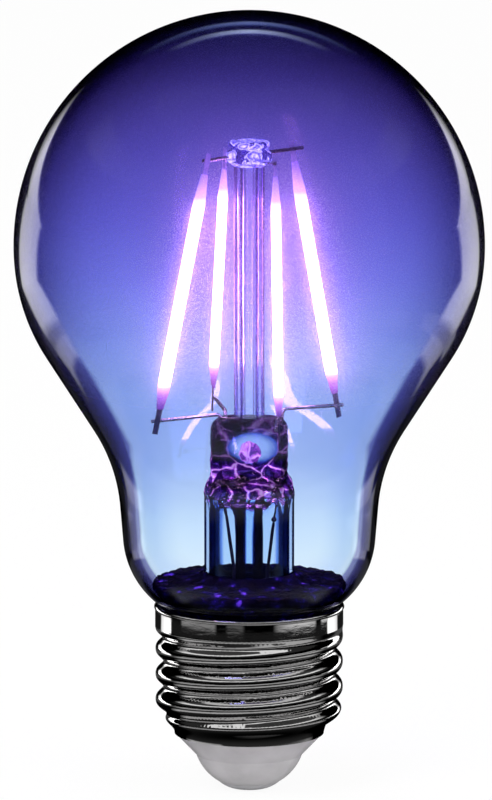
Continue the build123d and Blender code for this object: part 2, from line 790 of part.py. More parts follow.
def tab(frame, first, last):
    """Flat metal tab between two places along its frame."""
    plate = Box(TAB_WIDTH, TAB_THICKNESS, last - first)
    return frame.location * Pos(0, 0, (first + last) / 2) * plate


def filament_strip(low_frame, top_frame):
    """Coated light strip with tapered ends, between its two tabs."""
    start = low_frame.origin + low_frame.z_dir * (STRIP_START + TOUCH_GAP)
    stop = top_frame.origin - top_frame.z_dir * (STRIP_STOP + TOUCH_GAP)
    length = (stop - start).length
    across = low_frame.x_dir + top_frame.x_dir
    frame = Plane(origin=start, x_dir=across, z_dir=stop - start)
    small = SlotOverall(STRIP_END_WIDTH, STRIP_END_THICKNESS)
    large = SlotOverall(STRIP_WIDTH, STRIP_THICKNESS)
    low_end = loft([small, Pos(0, 0, LOW_TAPER) * large])
    body = Pos(0, 0, LOW_TAPER) * extrude(large, length - LOW_TAPER - TOP_TAPER)
    top_end = loft([Pos(0, 0, length - TOP_TAPER) * large, Pos(0, 0, length) * small])
    return frame.location * (low_end + body + top_end)


# Wires first, because the glass and the board are cut round them
support_wires = {name: support_wire(name) for name in FOOT_X}
top_wires = {
    "top_wire_left_right": top_wire("left", "right"),
    "top_wire_front_back": top_wire("front", "back"),
}
seal_wires = {
    "left": seal_wire(LEFT_FOOT_X, [Vector(LEFT_FOOT_X, 0, SEAL_EXIT), LEFT_KNOT]),
    "right": seal_wire(RIGHT_FOOT_X, [Vector(RIGHT_FOOT_X, 0, SEAL_EXIT), RIGHT_KNOT]),
}
lead_end = board_bottom - LEAD_PAST
outer_leads = {
    "left": outer_lead(LEFT_KNOT, [LEFT_PASS, Vector(-LEAD_HOLE_X, LEAD_HOLE_Y, lead_end)]),
    "right": outer_lead(RIGHT_KNOT, [RIGHT_PASS, Vector(LEAD_HOLE_X, LEAD_HOLE_Y, lead_end)]),
}
neutral_wire = bent_wire(
    [
        Vector(NEUTRAL_X, 0, lead_end),
        Vector(NEUTRAL_X, 0, NEUTRAL_BEND_HEIGHT),
        Vector(NEUTRAL_WALL_X, 0, NEUTRAL_BEND_HEIGHT),
        Vector(NEUTRAL_WALL_X, 0, NEUTRAL_END),
    ],
    LEAD_D,
    BEND_R,
)
resistor, resistor_bottom = fuse_resistor()
live_wire = straight_wire(
    Vector(0, 0, resistor_bottom - TOUCH_GAP),
    Vector(0, 0, CONTACT_SHANK_TOP - LIVE_DEPTH),
    LEAD_D,
)

# Glass
save("glass_envelope", glass_envelope())
save("stem_flare", stem_flare(list(support_wires.values()) + list(seal_wires.values())))
save("exhaust_tube", exhaust_tube())
save("stem_column", stem_column())
save("column_crown", column_crown(top_wires.values()))

# Wires
for name, piece in top_wires.items():
    save(name, piece)
for name, piece in support_wires.items():
    save(f"support_wire_{name}", piece)
for name, piece in seal_wires.items():
    save(f"seal_wire_{name}", piece)
for name, piece in outer_leads.items():
    save(f"outer_lead_{name}", piece)
save("neutral_wire", neutral_wire)
save("live_wire", live_wire)

# Filaments and their tabs
for name in FOOT_X:
    direction = (top_weld[name] - low_weld[name]).normalized()
    low = tab_frame(low_weld[name], low_bend[name], direction)
    top = tab_frame(top_weld[name], top_weld[OPPOSITE[name]], direction)
    save(f"filament_{name}", filament_strip(low, top))
    save(f"lower_tab_{name}", tab(low, -LOW_TAB_PAST, STRIP_START))
    save(f"upper_tab_{name}", tab(top, -STRIP_STOP, TOP_TAB_PAST))

# Cap
save("screw_shell", screw_shell())
save("insulator", insulator())
save("centre_contact", centre_contact())
save("base_cement", base_cement())
save("neck_cement", neck_cement())

# Driver
board_cutters = list(outer_leads.values()) + [neutral_wire, resistor]
bridge = moulded_block(BRIDGE_SIZE, BRIDGE_PLACE)
chip = moulded_block(CHIP_SIZE, CHIP_PLACE)
save("driver_sleeve", driver_sleeve())
save("driver_board", driver_board(board_cutters))
save("smoothing_capacitor", smoothing_capacitor())
save("bridge_rectifier", with_pins(bridge, BRIDGE_SIZE, BRIDGE_PLACE, BRIDGE_PINS))
save("driver_chip", with_pins(chip, CHIP_SIZE, CHIP_PLACE, CHIP_PINS))
save("fuse_resistor", resistor)
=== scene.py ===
import math

import bmesh
import bpy
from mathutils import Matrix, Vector, noise


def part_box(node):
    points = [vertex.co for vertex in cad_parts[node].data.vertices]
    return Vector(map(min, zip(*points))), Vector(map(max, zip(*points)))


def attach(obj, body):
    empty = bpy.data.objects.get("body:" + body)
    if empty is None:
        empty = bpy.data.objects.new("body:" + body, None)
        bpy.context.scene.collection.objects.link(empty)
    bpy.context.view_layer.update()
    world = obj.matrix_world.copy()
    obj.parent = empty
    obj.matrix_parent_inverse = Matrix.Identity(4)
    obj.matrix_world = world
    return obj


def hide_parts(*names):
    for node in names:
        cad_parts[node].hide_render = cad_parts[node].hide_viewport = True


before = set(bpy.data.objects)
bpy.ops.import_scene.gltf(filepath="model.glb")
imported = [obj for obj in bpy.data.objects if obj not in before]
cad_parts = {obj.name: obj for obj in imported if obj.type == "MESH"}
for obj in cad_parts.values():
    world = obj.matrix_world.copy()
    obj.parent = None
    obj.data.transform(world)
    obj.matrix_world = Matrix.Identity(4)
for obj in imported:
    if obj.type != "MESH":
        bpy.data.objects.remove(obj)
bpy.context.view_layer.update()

# Lengths are in millimetres unless a comment says otherwise, and MM turns them into metres.
# Heights are measured from the upper rim of the cap.
MM = 0.001
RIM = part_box("screw_shell")[1].z / MM

# Camera, as the photograph was taken: a long lens a little above the bulb's middle
IMAGE_HEIGHT = 800
SENSOR = 36.0
FOCAL_PIXELS = 8590.4
CAMERA_DISTANCE = 1200.0
CAMERA_ELEVATION = 9.5
TARGET_X = -0.45
TARGET_HEIGHT = 29.0
CLIP_METRES = (0.01, 20.0)

# Glass bulb, as tangent arcs from the crown down to the cap; angles in degrees
GLASS_WALL = 0.7
CROWN_R = 32.83
CROWN_HEIGHT = 83.6
CROWN_END = -2.7
SHOULDER_R = 28.2
FLANK_LEAN = 32.6
NECK_CURVE_R = 24.09
NECK_R = 17.9
NECK_R_HEIGHT = 12.0
NECK_LEAN = 4.8
BASE_CURVE_R = 12.32
RIM_GLASS_R = 12.69
RIM_GLASS_HEIGHT = 0.2
SKIRT_R = 12.2
SKIRT_TOP = -0.4
SKIRT_BOTTOM = -2.6
ROUND_STEPS = 224
ARC_STEP = 2.0

# Stem: flare tube and flange; the flange's skins are given as radius and height
FLARE_R = 6.3
FLARE_WALL = 0.8
FLARE_SHOULDER = 15.9
FLARE_ROWS = (8, 11, 13.5, 14.8)
BORE_ROWS = (8, 11, 13.5)
TRUMPET_R = 2.3
TRUMPET_STEP = 9
FLANGE_TOP = 2.9
FLANGE_OUTSIDE = [(11.3, SKIRT_BOTTOM), (11.3, SKIRT_TOP), (12.9, 1.75), (13.05, 2.2), (12.4, FLANGE_TOP)]
FLANGE_INSIDE = [(10.65, SKIRT_BOTTOM), (10.65, SKIRT_TOP), (12.0, FLANGE_TOP - FLARE_WALL)]
STEM_STEPS = 160

# Dome that closes the flare's bore under the press: it narrows in width and flattens more in depth
DOME_BOTTOM = 14.6
DOME_ROWS = 9
DOME_NARROWING = 0.8
DOME_FLATTENING = 0.55
DOME_HALF_THICKNESS = 0.6

# Pinched press: its rows go from round to an oval with flat sides
ROUND_POWER = 2
PRESS_POWER = 3.2
PRESS_TOP_POWER = 3.0
PRESS_BOTTOM = 19.1
PRESS_TOP = 26.9
PRESS_HALF_WIDTH = 5.4
PRESS_HALF_THICKNESS = 1.9
PRESS_CORNER_R = 1.9
PRESS_CORNER_STEP = 12
PRESS_FLAT_START = 20.9
PRESS_FLAT_STEP = 0.45
PRESS_FLAT_ROWS = 9
PRESS_EDGE_SHARE = 0.55
PRESS_EDGE_REACH = 2.4
PINCH_START = FLARE_SHOULDER - 0.5
PINCH_END = PRESS_BOTTOM + 1.4
PINCH_LAG = 1.2
PINCH_ROWS = 22

# Folds that the pincers left in the press; the shares have no unit
WRINKLE_HEIGHT = 17.8
WRINKLE_SPREAD = 2.6
WRINKLE_DEPTH = 0.42
WRINKLE_UPPER_SHARE = 0.45
WRINKLE_FINE_SHARE = 0.45
WRINKLE_WIDTH_SHARE = 0.35
WRINKLE_DAMPING = 2.2

# Lump of glass at the pump hole
BUBBLE_CENTRE = (0.1, -0.35, 22.0)
BUBBLE_SIZE = (1.45, 1.0, 1.45)
BUBBLE_RINGS = 14
BUBBLE_STEPS = 24
BUBBLE_SWELL = 0.28
BUBBLE_LUMPS = 2.3

# Cement in the neck: a lumpy top that heaps up round the flare, and a flat underside on the flange
CEMENT_EYE_R = 6.42
CEMENT_R = 13.5
CEMENT_TOP = 3.4
CEMENT_FALL = 0.25
CEMENT_HEAP = 1.35
CEMENT_HEAP_REACH = 0.16
CEMENT_UNDERSIDE = [(13.75, 2.45), (13.3, 1.8), (13.15, 1.9), (13.15, 2.95), (9.0, 2.95), (7.3, 3.4), (6.5, 4.3)]
CEMENT_RINGS = 26
CEMENT_STEPS = 150
CEMENT_LUMP = 0.32
CEMENT_MIDDLE_SHARE = 0.7
CEMENT_EDGE_SHARE = 1.3
CEMENT_EDGE_RINGS = 3

# Height up to which the tones of the glass are spread
TONE_TOP = 84

# Fine specks on the glass that scatter a little of the strips' light; the scale counts per metre
HAZE_SCALE = 20000.0
HAZE_LIMIT = 0.705
HAZE_ROUGHNESS = 0.28

# Light strips: the heights between which their tones run, their strength and their colour
STRIP_RANGE = (27.0, 64.0)
STRIP_POWER = 60.0
STRIP_COLOUR = (1.0, 0.46, 0.68, 1)

# Stem glass: what it reflects head-on, and the painted shade of its walls where the eye looks along them
STEM_MIRROR = (0.10, 0.07, 0.16, 1)
WALL_SHADE_BLUE = (0.06, 0.16, 0.72, 1)
WALL_SHADE_DARK = (0.00002, 0.00005, 0.004, 1)

# Light of the strips that the stem's pieces gather, painted on them as their own glow
CREASE_GLOW = 0.7
CROWN_GLOW = 1.9
COLUMN_GLOW = 0.07
BUBBLE_GLOW = 0.75

# Clear oval window in the press, as centre and half size in X and height
LENS_CENTRE = (0.5, 22.7)
LENS_SIZE = (3.7, 2.3)

# Painted glow of the strips on the glass: each strip's line as its X at height 0 and its lean
GLOW_LINES = [(-17.9, 0.205), (-6.2, 0.073), (4.6, 0.0), (19.7, -0.203)]
GLOW_REACH = 3.5
GLOW_COLOUR = (1.0, 0.44, 0.80, 1)
GLOW_POWER = 0.105

# Floor: its half size in metres, its own tone, how much of it glows, and how far its mirrored pattern reaches
FLOOR_HALF = 6.0
FLOOR_TONE = 0.9
FLOOR_GLOW = 0.93
FLOOR_PATTERN_REACH = 185.0

# Windows of the studio: they move back by this many degrees between two distances from the axis,
# and with the rise of the ray by the degrees in WINDOW_RISE
WINDOW_NEAR = 140.0
WINDOW_FAR = 340.0
WINDOW_SHIFT = 17.0
WINDOW_RISE = 140.0

# Rays that crossed this many glass surfaces are inside the stem, and those near the second number of
# crossings bounced along its wall and come out bright
STEM_CROSSINGS = 2.5
BOUNCE_CROSSINGS = 6.0
BOUNCE_MARGIN = 1.2
BOUNCE_LIGHT = (0.8, 0.85, 1.0, 1)
STUDIO_GREY = 0.75

# Where the lamps point, in metres
LAMP_AIM = Vector((0, 0, 0.05))


def srgb(red, green, blue):
    """Scene colour of a tone given as 0 to 255 values."""
    linear = []
    for value in (red, green, blue):
        share = value / 255
        linear.append(share / 12.92 if share <= 0.04045 else ((share + 0.055) / 1.055) ** 2.4)
    return (*linear, 1.0)


def grey(value):
    return (value, value, value, 1)


def greys(*stops):
    """Stops of a ramp in grey, from pairs of place and value."""
    return [(place, grey(value)) for place, value in stops]


def tree_of(material):
    """Empties a material's node tree down to one Principled shader and its output."""
    material.use_nodes = True
    nodes = material.node_tree.nodes
    nodes.clear()
    output = nodes.new("ShaderNodeOutputMaterial")
    shader = nodes.new("ShaderNodeBsdfPrincipled")
    material.node_tree.links.new(shader.outputs[0], output.inputs[0])
    return material.node_tree, shader, output


def object_place(tree):
    return tree.nodes.new("ShaderNodeTexCoord").outputs["Object"]


def stretched_place(tree, stretch):
    mapping = tree.nodes.new("ShaderNodeMapping")
    mapping.inputs["Scale"].default_value = stretch
    tree.links.new(object_place(tree), mapping.inputs["Vector"])
    return mapping.outputs["Vector"]


def noise_node(tree, scale, detail=4.0, stretch=(1, 1, 1)):
    """Noise in the part's own coordinates; scale counts features per metre."""
    texture = tree.nodes.new("ShaderNodeTexNoise")
    texture.inputs["Scale"].default_value = scale
    texture.inputs["Detail"].default_value = detail
    tree.links.new(stretched_place(tree, stretch), texture.inputs["Vector"])
    return texture


def cell_node(tree, scale, feature, warp=0.0, stretch=(1, 1, 1)):
    """Cells in the part's own coordinates, their borders bent by noise; scale counts per metre."""
    bend = noise_node(tree, scale * 0.6, 2.0)
    shift = tree.nodes.new("ShaderNodeVectorMath")
    shift.operation = "MULTIPLY_ADD"
    shift.inputs[1].default_value = (warp * MM, warp * MM, warp * MM)
    tree.links.new(bend.outputs["Color"], shift.inputs[0])
    tree.links.new(stretched_place(tree, stretch), shift.inputs[2])
    cells = tree.nodes.new("ShaderNodeTexVoronoi")
    cells.feature = feature
    cells.inputs["Scale"].default_value = scale
    tree.links.new(shift.outputs["Vector"], cells.inputs["Vector"])
    return cells.outputs["Distance"]


def ramp_node(tree, source, stops, smooth=False):
    ramp = tree.nodes.new("ShaderNodeValToRGB")
    ramp.color_ramp.interpolation = "EASE" if smooth else "LINEAR"
    elements = ramp.color_ramp.elements
    while len(elements) < len(stops):
        elements.new(0.5)
    for element, (place, colour) in zip(elements, stops):
        element.position = place
        element.color = colour
    tree.links.new(source, ramp.inputs["Fac"])
    return ramp.outputs["Color"]


def span_node(tree, value, from_min, from_max, to_min=0.0, to_max=1.0):
    """Carries a value over from one range to another and stops at its ends."""
    span = tree.nodes.new("ShaderNodeMapRange")
    limits = {"From Min": from_min, "From Max": from_max, "To Min": to_min, "To Max": to_max}
    for name, limit in limits.items():
        span.inputs[name].default_value = limit
    tree.links.new(value, span.inputs["Value"])
    return span.outputs["Result"]


def height_node(tree, low, high):
    """0 at one height above the cap's rim and 1 at another."""
    split = tree.nodes.new("ShaderNodeSeparateXYZ")
    tree.links.new(object_place(tree), split.inputs["Vector"])
    return span_node(tree, split.outputs["Z"], (low + RIM) * MM, (high + RIM) * MM)


def math_node(tree, operation, *values, clamp=False):
    node = tree.nodes.new("ShaderNodeMath")
    node.operation = operation
    node.use_clamp = clamp
    for socket, value in zip(node.inputs, values):
        if isinstance(value, (int, float)):
            socket.default_value = value
        else:
            tree.links.new(value, socket)
    return node.outputs[0]


def length_node(tree, vector):
    length = tree.nodes.new("ShaderNodeVectorMath")
    length.operation = "LENGTH"
    tree.links.new(vector, length.inputs[0])
    return length.outputs["Value"]


def mix_colours(tree, share, first, second, mode="MIX"):
    mix = tree.nodes.new("ShaderNodeMix")
    mix.data_type = "RGBA"
    mix.blend_type = mode
    if isinstance(share, float):
        mix.inputs["Factor"].default_value = share
    else:
        tree.links.new(share, mix.inputs["Factor"])
    for socket, value in ((mix.inputs["A"], first), (mix.inputs["B"], second)):
        if isinstance(value, tuple):
            socket.default_value = value
        else:
            tree.links.new(value, socket)
    return mix.outputs["Result"]


def times(tree, first, second):
    """Product of two colours."""
    return mix_colours(tree, 1.0, first, second, "MULTIPLY")


def mix_shaders(tree, share, first, second, output):
    mix = tree.nodes.new("ShaderNodeMixShader")
    tree.links.new(share, mix.inputs["Fac"])
    tree.links.new(first.outputs[0], mix.inputs[1])
    tree.links.new(second.outputs[0], mix.inputs[2])
    tree.links.new(mix.outputs[0], output.inputs["Surface"])


def facing_node(tree):
    """0 where a surface faces the eye and 1 where it is seen edge-on."""
    weight = tree.nodes.new("ShaderNodeLayerWeight")
    weight.inputs["Blend"].default_value = 0.5
    return weight.outputs["Facing"]


def add_bump(tree, shader, texture, strength, distance):
    bump = tree.nodes.new("ShaderNodeBump")
    bump.inputs["Strength"].default_value = strength
    bump.inputs["Distance"].default_value = distance * MM
    tree.links.new(texture.outputs[0], bump.inputs["Height"])
    tree.links.new(bump.outputs["Normal"], shader.inputs["Normal"])


def add_roughness(tree, shader, texture, low, high):
    """Roughness that varies with a texture, whose values are mostly between 0.3 and 0.7."""
    tree.links.new(span_node(tree, texture.outputs[0], 0.3, 0.7, low, high), shader.inputs["Roughness"])


def add_light(tree, shader, colour, power):
    """Colour for both the surface and the light that it gives off."""
    tree.links.new(colour, shader.inputs["Base Color"])
    tree.links.new(colour, shader.inputs["Emission Color"])
    shader.inputs["Emission Strength"].default_value = power


def let_lamps_through(tree, shader, output, tint):
    """Shadow rays pass the glass, so that the lamps light what is inside."""
    path = tree.nodes.new("ShaderNodeLightPath")
    clear = tree.nodes.new("ShaderNodeBsdfTransparent")
    clear.inputs["Color"].default_value = tint
    mix_shaders(tree, path.outputs["Is Shadow Ray"], shader, clear, output)


def add_glow(tree, shader):
    """Painted glow: soft violet light on the glass in front of and behind the strips, which fades sideways."""
    split = tree.nodes.new("ShaderNodeSeparateXYZ")
    tree.links.new(object_place(tree), split.inputs["Vector"])
    total = None
    for start, lean in GLOW_LINES:
        line = math_node(tree, "MULTIPLY_ADD", split.outputs["Z"], lean, (start - RIM * lean) * MM)
        distance = math_node(tree, "ABSOLUTE", math_node(tree, "SUBTRACT", split.outputs["X"], line))
        fade = math_node(tree, "EXPONENT", math_node(tree, "MULTIPLY", distance, -1 / (GLOW_REACH * MM)))
        total = fade if total is None else math_node(tree, "ADD", total, fade)
    stops = greys((0.34, 0), (0.50, 1), (0.60, 1), (0.68, 0.7), (0.84, 0))
    band = ramp_node(tree, height_node(tree, 0, TONE_TOP), stops, smooth=True)
    strength = math_node(tree, "MULTIPLY", math_node(tree, "MULTIPLY", total, band), GLOW_POWER)
    shader.inputs["Emission Color"].default_value = GLOW_COLOUR
    tree.links.new(strength, shader.inputs["Emission Strength"])


def new_glass(name, bend, mirror=None, roughness=0.0):
    """Plain glass: bend is its refractive index, and mirror tints what it reflects head-on."""
    material = bpy.data.materials.new(name)
    tree, shader, output = tree_of(material)
    shader.inputs["Transmission Weight"].default_value = 1.0
    shader.inputs["Roughness"].default_value = roughness
    shader.inputs["IOR"].default_value = bend
    if mirror:
        shader.inputs["Specular Tint"].default_value = mirror
    return material, tree, shader, output


def envelope_glass():
    """Clear glass that reads indigo at the crown and sky blue at the neck, with near-black rims painted by viewing
    angle as shade and a pale painted highlight band inside the rim at the neck.
    """
    material, tree, shader, output = new_glass("envelope_glass", 1.46)
    heights = height_node(tree, 0, TONE_TOP)
    tones = ramp_node(
        tree,
        heights,
        [
            (0.00, srgb(238, 246, 255)),
            (0.12, srgb(229, 244, 255)),
            (0.21, srgb(210, 227, 255)),
            (0.30, srgb(204, 220, 255)),
            (0.40, srgb(196, 216, 255)),
            (0.50, srgb(174, 184, 245)),
            (0.60, srgb(160, 162, 236)),
            (0.72, srgb(148, 143, 220)),
            (0.84, srgb(138, 128, 200)),
            (0.93, srgb(118, 108, 178)),
            (1.00, srgb(120, 124, 184)),
        ],
    )
    # Painted shade and highlight by viewing angle: the rims darken to near-black, standing for dark surroundings
    # mirrored at grazing angles and for the longer path through the wall. At the neck a pale painted highlight band
    # lies just inside the dark rim.
    facing = facing_node(tree)
    belly_edge_shade = ramp_node(
        tree,
        facing,
        [
            (0.0, grey(1)),
            (0.17, grey(1)),
            (0.29, (0.88, 0.88, 0.89, 1)),
            (0.39, (0.70, 0.70, 0.72, 1)),
            (0.48, (0.55, 0.55, 0.58, 1)),
            (0.58, (0.40, 0.38, 0.48, 1)),
            (0.67, (0.16, 0.13, 0.26, 1)),
            (0.76, (0.05, 0.03, 0.12, 1)),
            (1.0, (0.03, 0.02, 0.07, 1)),
        ],
    )
    neck_edge_shade_and_highlight = ramp_node(
        tree,
        facing,
        [
            (0.0, grey(1)),
            (0.20, grey(1)),
            (0.36, (0.80, 0.86, 0.98, 1)),
            (0.45, (0.84, 0.90, 1.0, 1)),
            (0.50, grey(1)),
            (0.53, (0.96, 0.99, 1.0, 1)),
            (0.565, (0.14, 0.12, 0.34, 1)),
            (0.72, (0.04, 0.03, 0.13, 1)),
            (1.0, (0.03, 0.02, 0.07, 1)),
        ],
    )
    belly_share = ramp_node(tree, heights, greys((0.38, 0), (0.52, 1)))
    edge = mix_colours(tree, belly_share, neck_edge_shade_and_highlight, belly_edge_shade)
    tree.links.new(times(tree, tones, edge), shader.inputs["Base Color"])
    mirror = ramp_node(tree, heights, greys((0.17, 0.05), (0.22, 1.0), (0.40, 1.0), (0.50, 0.03), (1.0, 0.0)))
    tree.links.new(mirror, shader.inputs["Specular Tint"])
    add_glow(tree, shader)
    add_bump(tree, shader, noise_node(tree, 28.0, 2.0, (1, 1, 0.5)), 0.05, 1.0)
    specks = noise_node(tree, HAZE_SCALE, 0.0)
    haze = math_node(tree, "GREATER_THAN", specks.outputs[0], HAZE_LIMIT)
    amount = math_node(tree, "MULTIPLY", haze, HAZE_ROUGHNESS)
    hazy = ramp_node(tree, heights, greys((0.26, 0), (0.38, 1)))
    tree.links.new(math_node(tree, "MULTIPLY", amount, hazy), shader.inputs["Roughness"])
    let_lamps_through(tree, shader, output, (0.8, 0.84, 1, 1))
    return material


def tube_glass(name, clear, painted_shade_from, painted_shade_to, painted_highlight_at):
    """Thick tube with painted shade and a painted highlight by viewing angle: pale where it is seen straight through,
    dark further out, with a white highlight line near its edge.
    """
    material, tree, shader, output = new_glass(name, 1.52, STEM_MIRROR)
    # Painted shade towards the tube's flanks and a painted white highlight line near its edge, both by viewing angle.
    stops = [
        (0.0, clear),
        (painted_shade_from, clear),
        ((painted_shade_from + painted_shade_to) / 2, WALL_SHADE_BLUE),
        (painted_shade_to, WALL_SHADE_DARK),
        (painted_highlight_at - 0.03, WALL_SHADE_DARK),
        (painted_highlight_at, clear),
        (painted_highlight_at + 0.09, clear),
        (painted_highlight_at + 0.13, WALL_SHADE_DARK),
        (1.0, WALL_SHADE_DARK),
    ]
    tree.links.new(ramp_node(tree, facing_node(tree), stops), shader.inputs["Base Color"])
    add_bump(tree, shader, noise_node(tree, 300.0, 2.0, (1, 1, 0.15)), 0.12, 0.3)
    let_lamps_through(tree, shader, output, (0.7, 0.74, 1, 1))
    return material


def column_glass():
    """Clear thick-walled tube with light and shade painted by viewing angle: pale walls as if lit by the strips, dark
    violet lines at the bore and at the outside, and a faint painted glow.
    """
    material, tree, shader, output = new_glass("column_glass", 1.5)
    # Painted light and shade: pale bands stand for the strips' light on the walls and dark violet lines for shade at
    # the bore and outside. Both also glow faintly.
    tones = ramp_node(
        tree,
        facing_node(tree),
        [
            (0.0, srgb(250, 248, 255)),
            (0.10, srgb(240, 238, 255)),
            (0.15, srgb(40, 22, 120)),
            (0.20, srgb(70, 46, 150)),
            (0.24, srgb(240, 234, 255)),
            (0.52, srgb(248, 244, 255)),
            (0.66, srgb(60, 36, 130)),
            (1.0, srgb(20, 8, 60)),
        ],
    )
    add_light(tree, shader, tones, COLUMN_GLOW)
    add_bump(tree, shader, noise_node(tree, 500.0, 3.0, (1, 1, 0.12)), 0.25, 0.3)
    let_lamps_through(tree, shader, output, (0.8, 0.8, 1, 1))
    return material


def press_glass():
    """The pinched press: crumpled dark glass with its edges painted dark by viewing angle, bright violet creases
    painted on as glints that also glow, and a clear oval window with a painted shadow round its rim.
    """
    material, tree, shader, output = new_glass("press_glass", 1.52, STEM_MIRROR, 0.02)
    # Painted shade: pale where seen straight through and dark towards the edges, by viewing angle.
    edge = ramp_node(
        tree,
        facing_node(tree),
        [
            (0.0, srgb(222, 236, 255)),
            (0.10, srgb(214, 228, 255)),
            (0.20, WALL_SHADE_BLUE),
            (0.32, WALL_SHADE_DARK),
            (1.0, WALL_SHADE_DARK),
        ],
    )
    # Painted glints: bright pink lines along the crease cells stand for the strips' light, and they also glow.
    crease_glints = ramp_node(
        tree,
        cell_node(tree, 330.0, "DISTANCE_TO_EDGE", 5.0, (1, 1, 1.6)),
        [
            (0.0, srgb(255, 205, 250)),
            (0.035, srgb(235, 120, 240)),
            (0.075, srgb(60, 12, 100)),
            (0.25, srgb(10, 3, 36)),
            (0.50, srgb(44, 14, 104)),
        ],
    )
    shade = ramp_node(tree, noise_node(tree, 330.0, 3.0).outputs[0], greys((0.43, 0.02), (0.53, 1.0)))
    crease_glint_heights = ramp_node(
        tree,
        height_node(tree, FLARE_SHOULDER, PRESS_TOP),
        greys((0.0, 0.9), (0.10, 1), (0.42, 1), (0.50, 0.35), (0.80, 0.3), (0.9, 0.12)),
    )
    painted_crease_light = times(tree, times(tree, crease_glints, shade), crease_glint_heights)
    lens = tree.nodes.new("ShaderNodeMapping")
    lens.vector_type = "TEXTURE"
    lens.inputs["Location"].default_value = (LENS_CENTRE[0] * MM, 0, (LENS_CENTRE[1] + RIM) * MM)
    lens.inputs["Scale"].default_value = (LENS_SIZE[0] * MM, 1, LENS_SIZE[1] * MM)
    tree.links.new(object_place(tree), lens.inputs["Vector"])
    from_centre = length_node(tree, lens.outputs["Vector"])
    above_tube = ramp_node(tree, height_node(tree, FLARE_SHOULDER - 1.0, PRESS_TOP), greys((0.0, 0), (0.10, 1)))
    beside_lens = ramp_node(tree, from_centre, greys((0.90, 0), (0.99, 1)))
    share = times(tree, above_tube, beside_lens)
    # Painted shadow: the window darkens towards its rim.
    lens_shadow = ramp_node(tree, from_centre, [(0.55, grey(1)), (0.92, (0.05, 0.10, 0.5, 1))])
    colour = mix_colours(tree, share, times(tree, edge, lens_shadow), painted_crease_light)
    tree.links.new(colour, shader.inputs["Base Color"])
    tree.links.new(times(tree, share, painted_crease_light), shader.inputs["Emission Color"])
    shader.inputs["Emission Strength"].default_value = CREASE_GLOW
    add_bump(tree, shader, noise_node(tree, 420.0, 3.0), 0.5, 0.5)
    let_lamps_through(tree, shader, output, (0.7, 0.7, 1, 1))
    return material


def crown_glass():
    """Melted end of the column: small facets painted bright and dark as glints and shade, which also glow."""
    material, tree, shader, output = new_glass("crown_glass", 1.52, roughness=0.03)
    # Painted glints and shade on the facets, also given off as glow.
    painted_facet_glints = ramp_node(
        tree,
        cell_node(tree, 700.0, "F1", 3.5, (1, 1, 1.3)),
        [
            (0.16, srgb(250, 245, 255)),
            (0.30, srgb(170, 160, 240)),
            (0.38, srgb(30, 18, 90)),
            (0.46, srgb(120, 110, 220)),
            (0.56, srgb(246, 240, 255)),
            (0.66, srgb(20, 10, 60)),
        ],
    )
    add_light(tree, shader, painted_facet_glints, CROWN_GLOW)
    add_bump(tree, shader, noise_node(tree, 900.0, 2.0), 0.6, 0.4)
    let_lamps_through(tree, shader, output, (0.8, 0.8, 1, 1))
    return material


def bubble_glass():
    """Lump of glass at the pump hole, with the pink light of the strips painted on it as glints along its facets and as
    its own glow.
    """
    material = bpy.data.materials.new("bubble_glass")
    tree, shader, _ = tree_of(material)
    shader.inputs["Transmission Weight"].default_value = 0.5
    shader.inputs["Roughness"].default_value = 0.05
    # Painted glints: bright pink outlines round the cells, which also glow.
    tones = ramp_node(
        tree,
        cell_node(tree, 480.0, "DISTANCE_TO_EDGE", 4.5, (1, 1, 0.6)),
        [
            (0.0, srgb(255, 200, 240)),
            (0.06, srgb(240, 130, 220)),
            (0.13, srgb(70, 18, 110)),
            (0.30, srgb(150, 50, 160)),
            (0.50, srgb(255, 190, 220)),
        ],
    )
    add_light(tree, shader, tones, BUBBLE_GLOW)
    add_bump(tree, shader, noise_node(tree, 700.0, 2.0), 0.6, 0.3)
    return material


def light_strip():
    """White-hot coating whose unlit ends show purple."""
    material = bpy.data.materials.new("light_strip")
    tree, shader, _ = tree_of(material)
    heights = height_node(tree, *STRIP_RANGE)
    tones = ramp_node(
        tree,
        heights,
        [
            (0.055, srgb(130, 60, 150)),
            (0.10, srgb(225, 130, 200)),
            (0.145, STRIP_COLOUR),
            (0.80, STRIP_COLOUR),
            (0.86, srgb(235, 190, 245)),
            (0.94, srgb(190, 150, 225)),
        ],
    )
    lower_end = [(0.05, 0.004), (0.10, 0.012), (0.125, 0.04), (0.14, 0.2), (0.16, 1.0)]
    upper_end = [(0.79, 1.0), (0.81, 0.2), (0.84, 0.05), (0.96, 0.015)]
    power = ramp_node(tree, heights, greys(*lower_end, *upper_end))
    tree.links.new(math_node(tree, "MULTIPLY", power, STRIP_POWER), shader.inputs["Emission Strength"])
    tree.links.new(tones, shader.inputs["Emission Color"])
    tree.links.new(tones, shader.inputs["Base Color"])
    grain = noise_node(tree, 900.0)
    add_roughness(tree, shader, grain, 0.35, 0.6)
    add_bump(tree, shader, grain, 0.2, 0.1)
    return material


def metal(name, colour, rough_low, rough_high, scale, bump, stretch=(1, 1, 1), dark=None):
    """Metal with a fine grain; a dark colour adds stains."""
    material = bpy.data.materials.new(name)
    tree, shader, _ = tree_of(material)
    shader.inputs["Metallic"].default_value = 1.0
    grain = noise_node(tree, scale, 5.0, stretch)
    add_roughness(tree, shader, grain, rough_low, rough_high)
    add_bump(tree, shader, grain, 0.3, bump)
    if dark is None:
        shader.inputs["Base Color"].default_value = colour
    else:
        stain = noise_node(tree, scale * 0.2, 3.0)
        tones = ramp_node(tree, stain.outputs[0], [(0.35, dark), (0.6, colour)])
        tree.links.new(tones, shader.inputs["Base Color"])
    return material


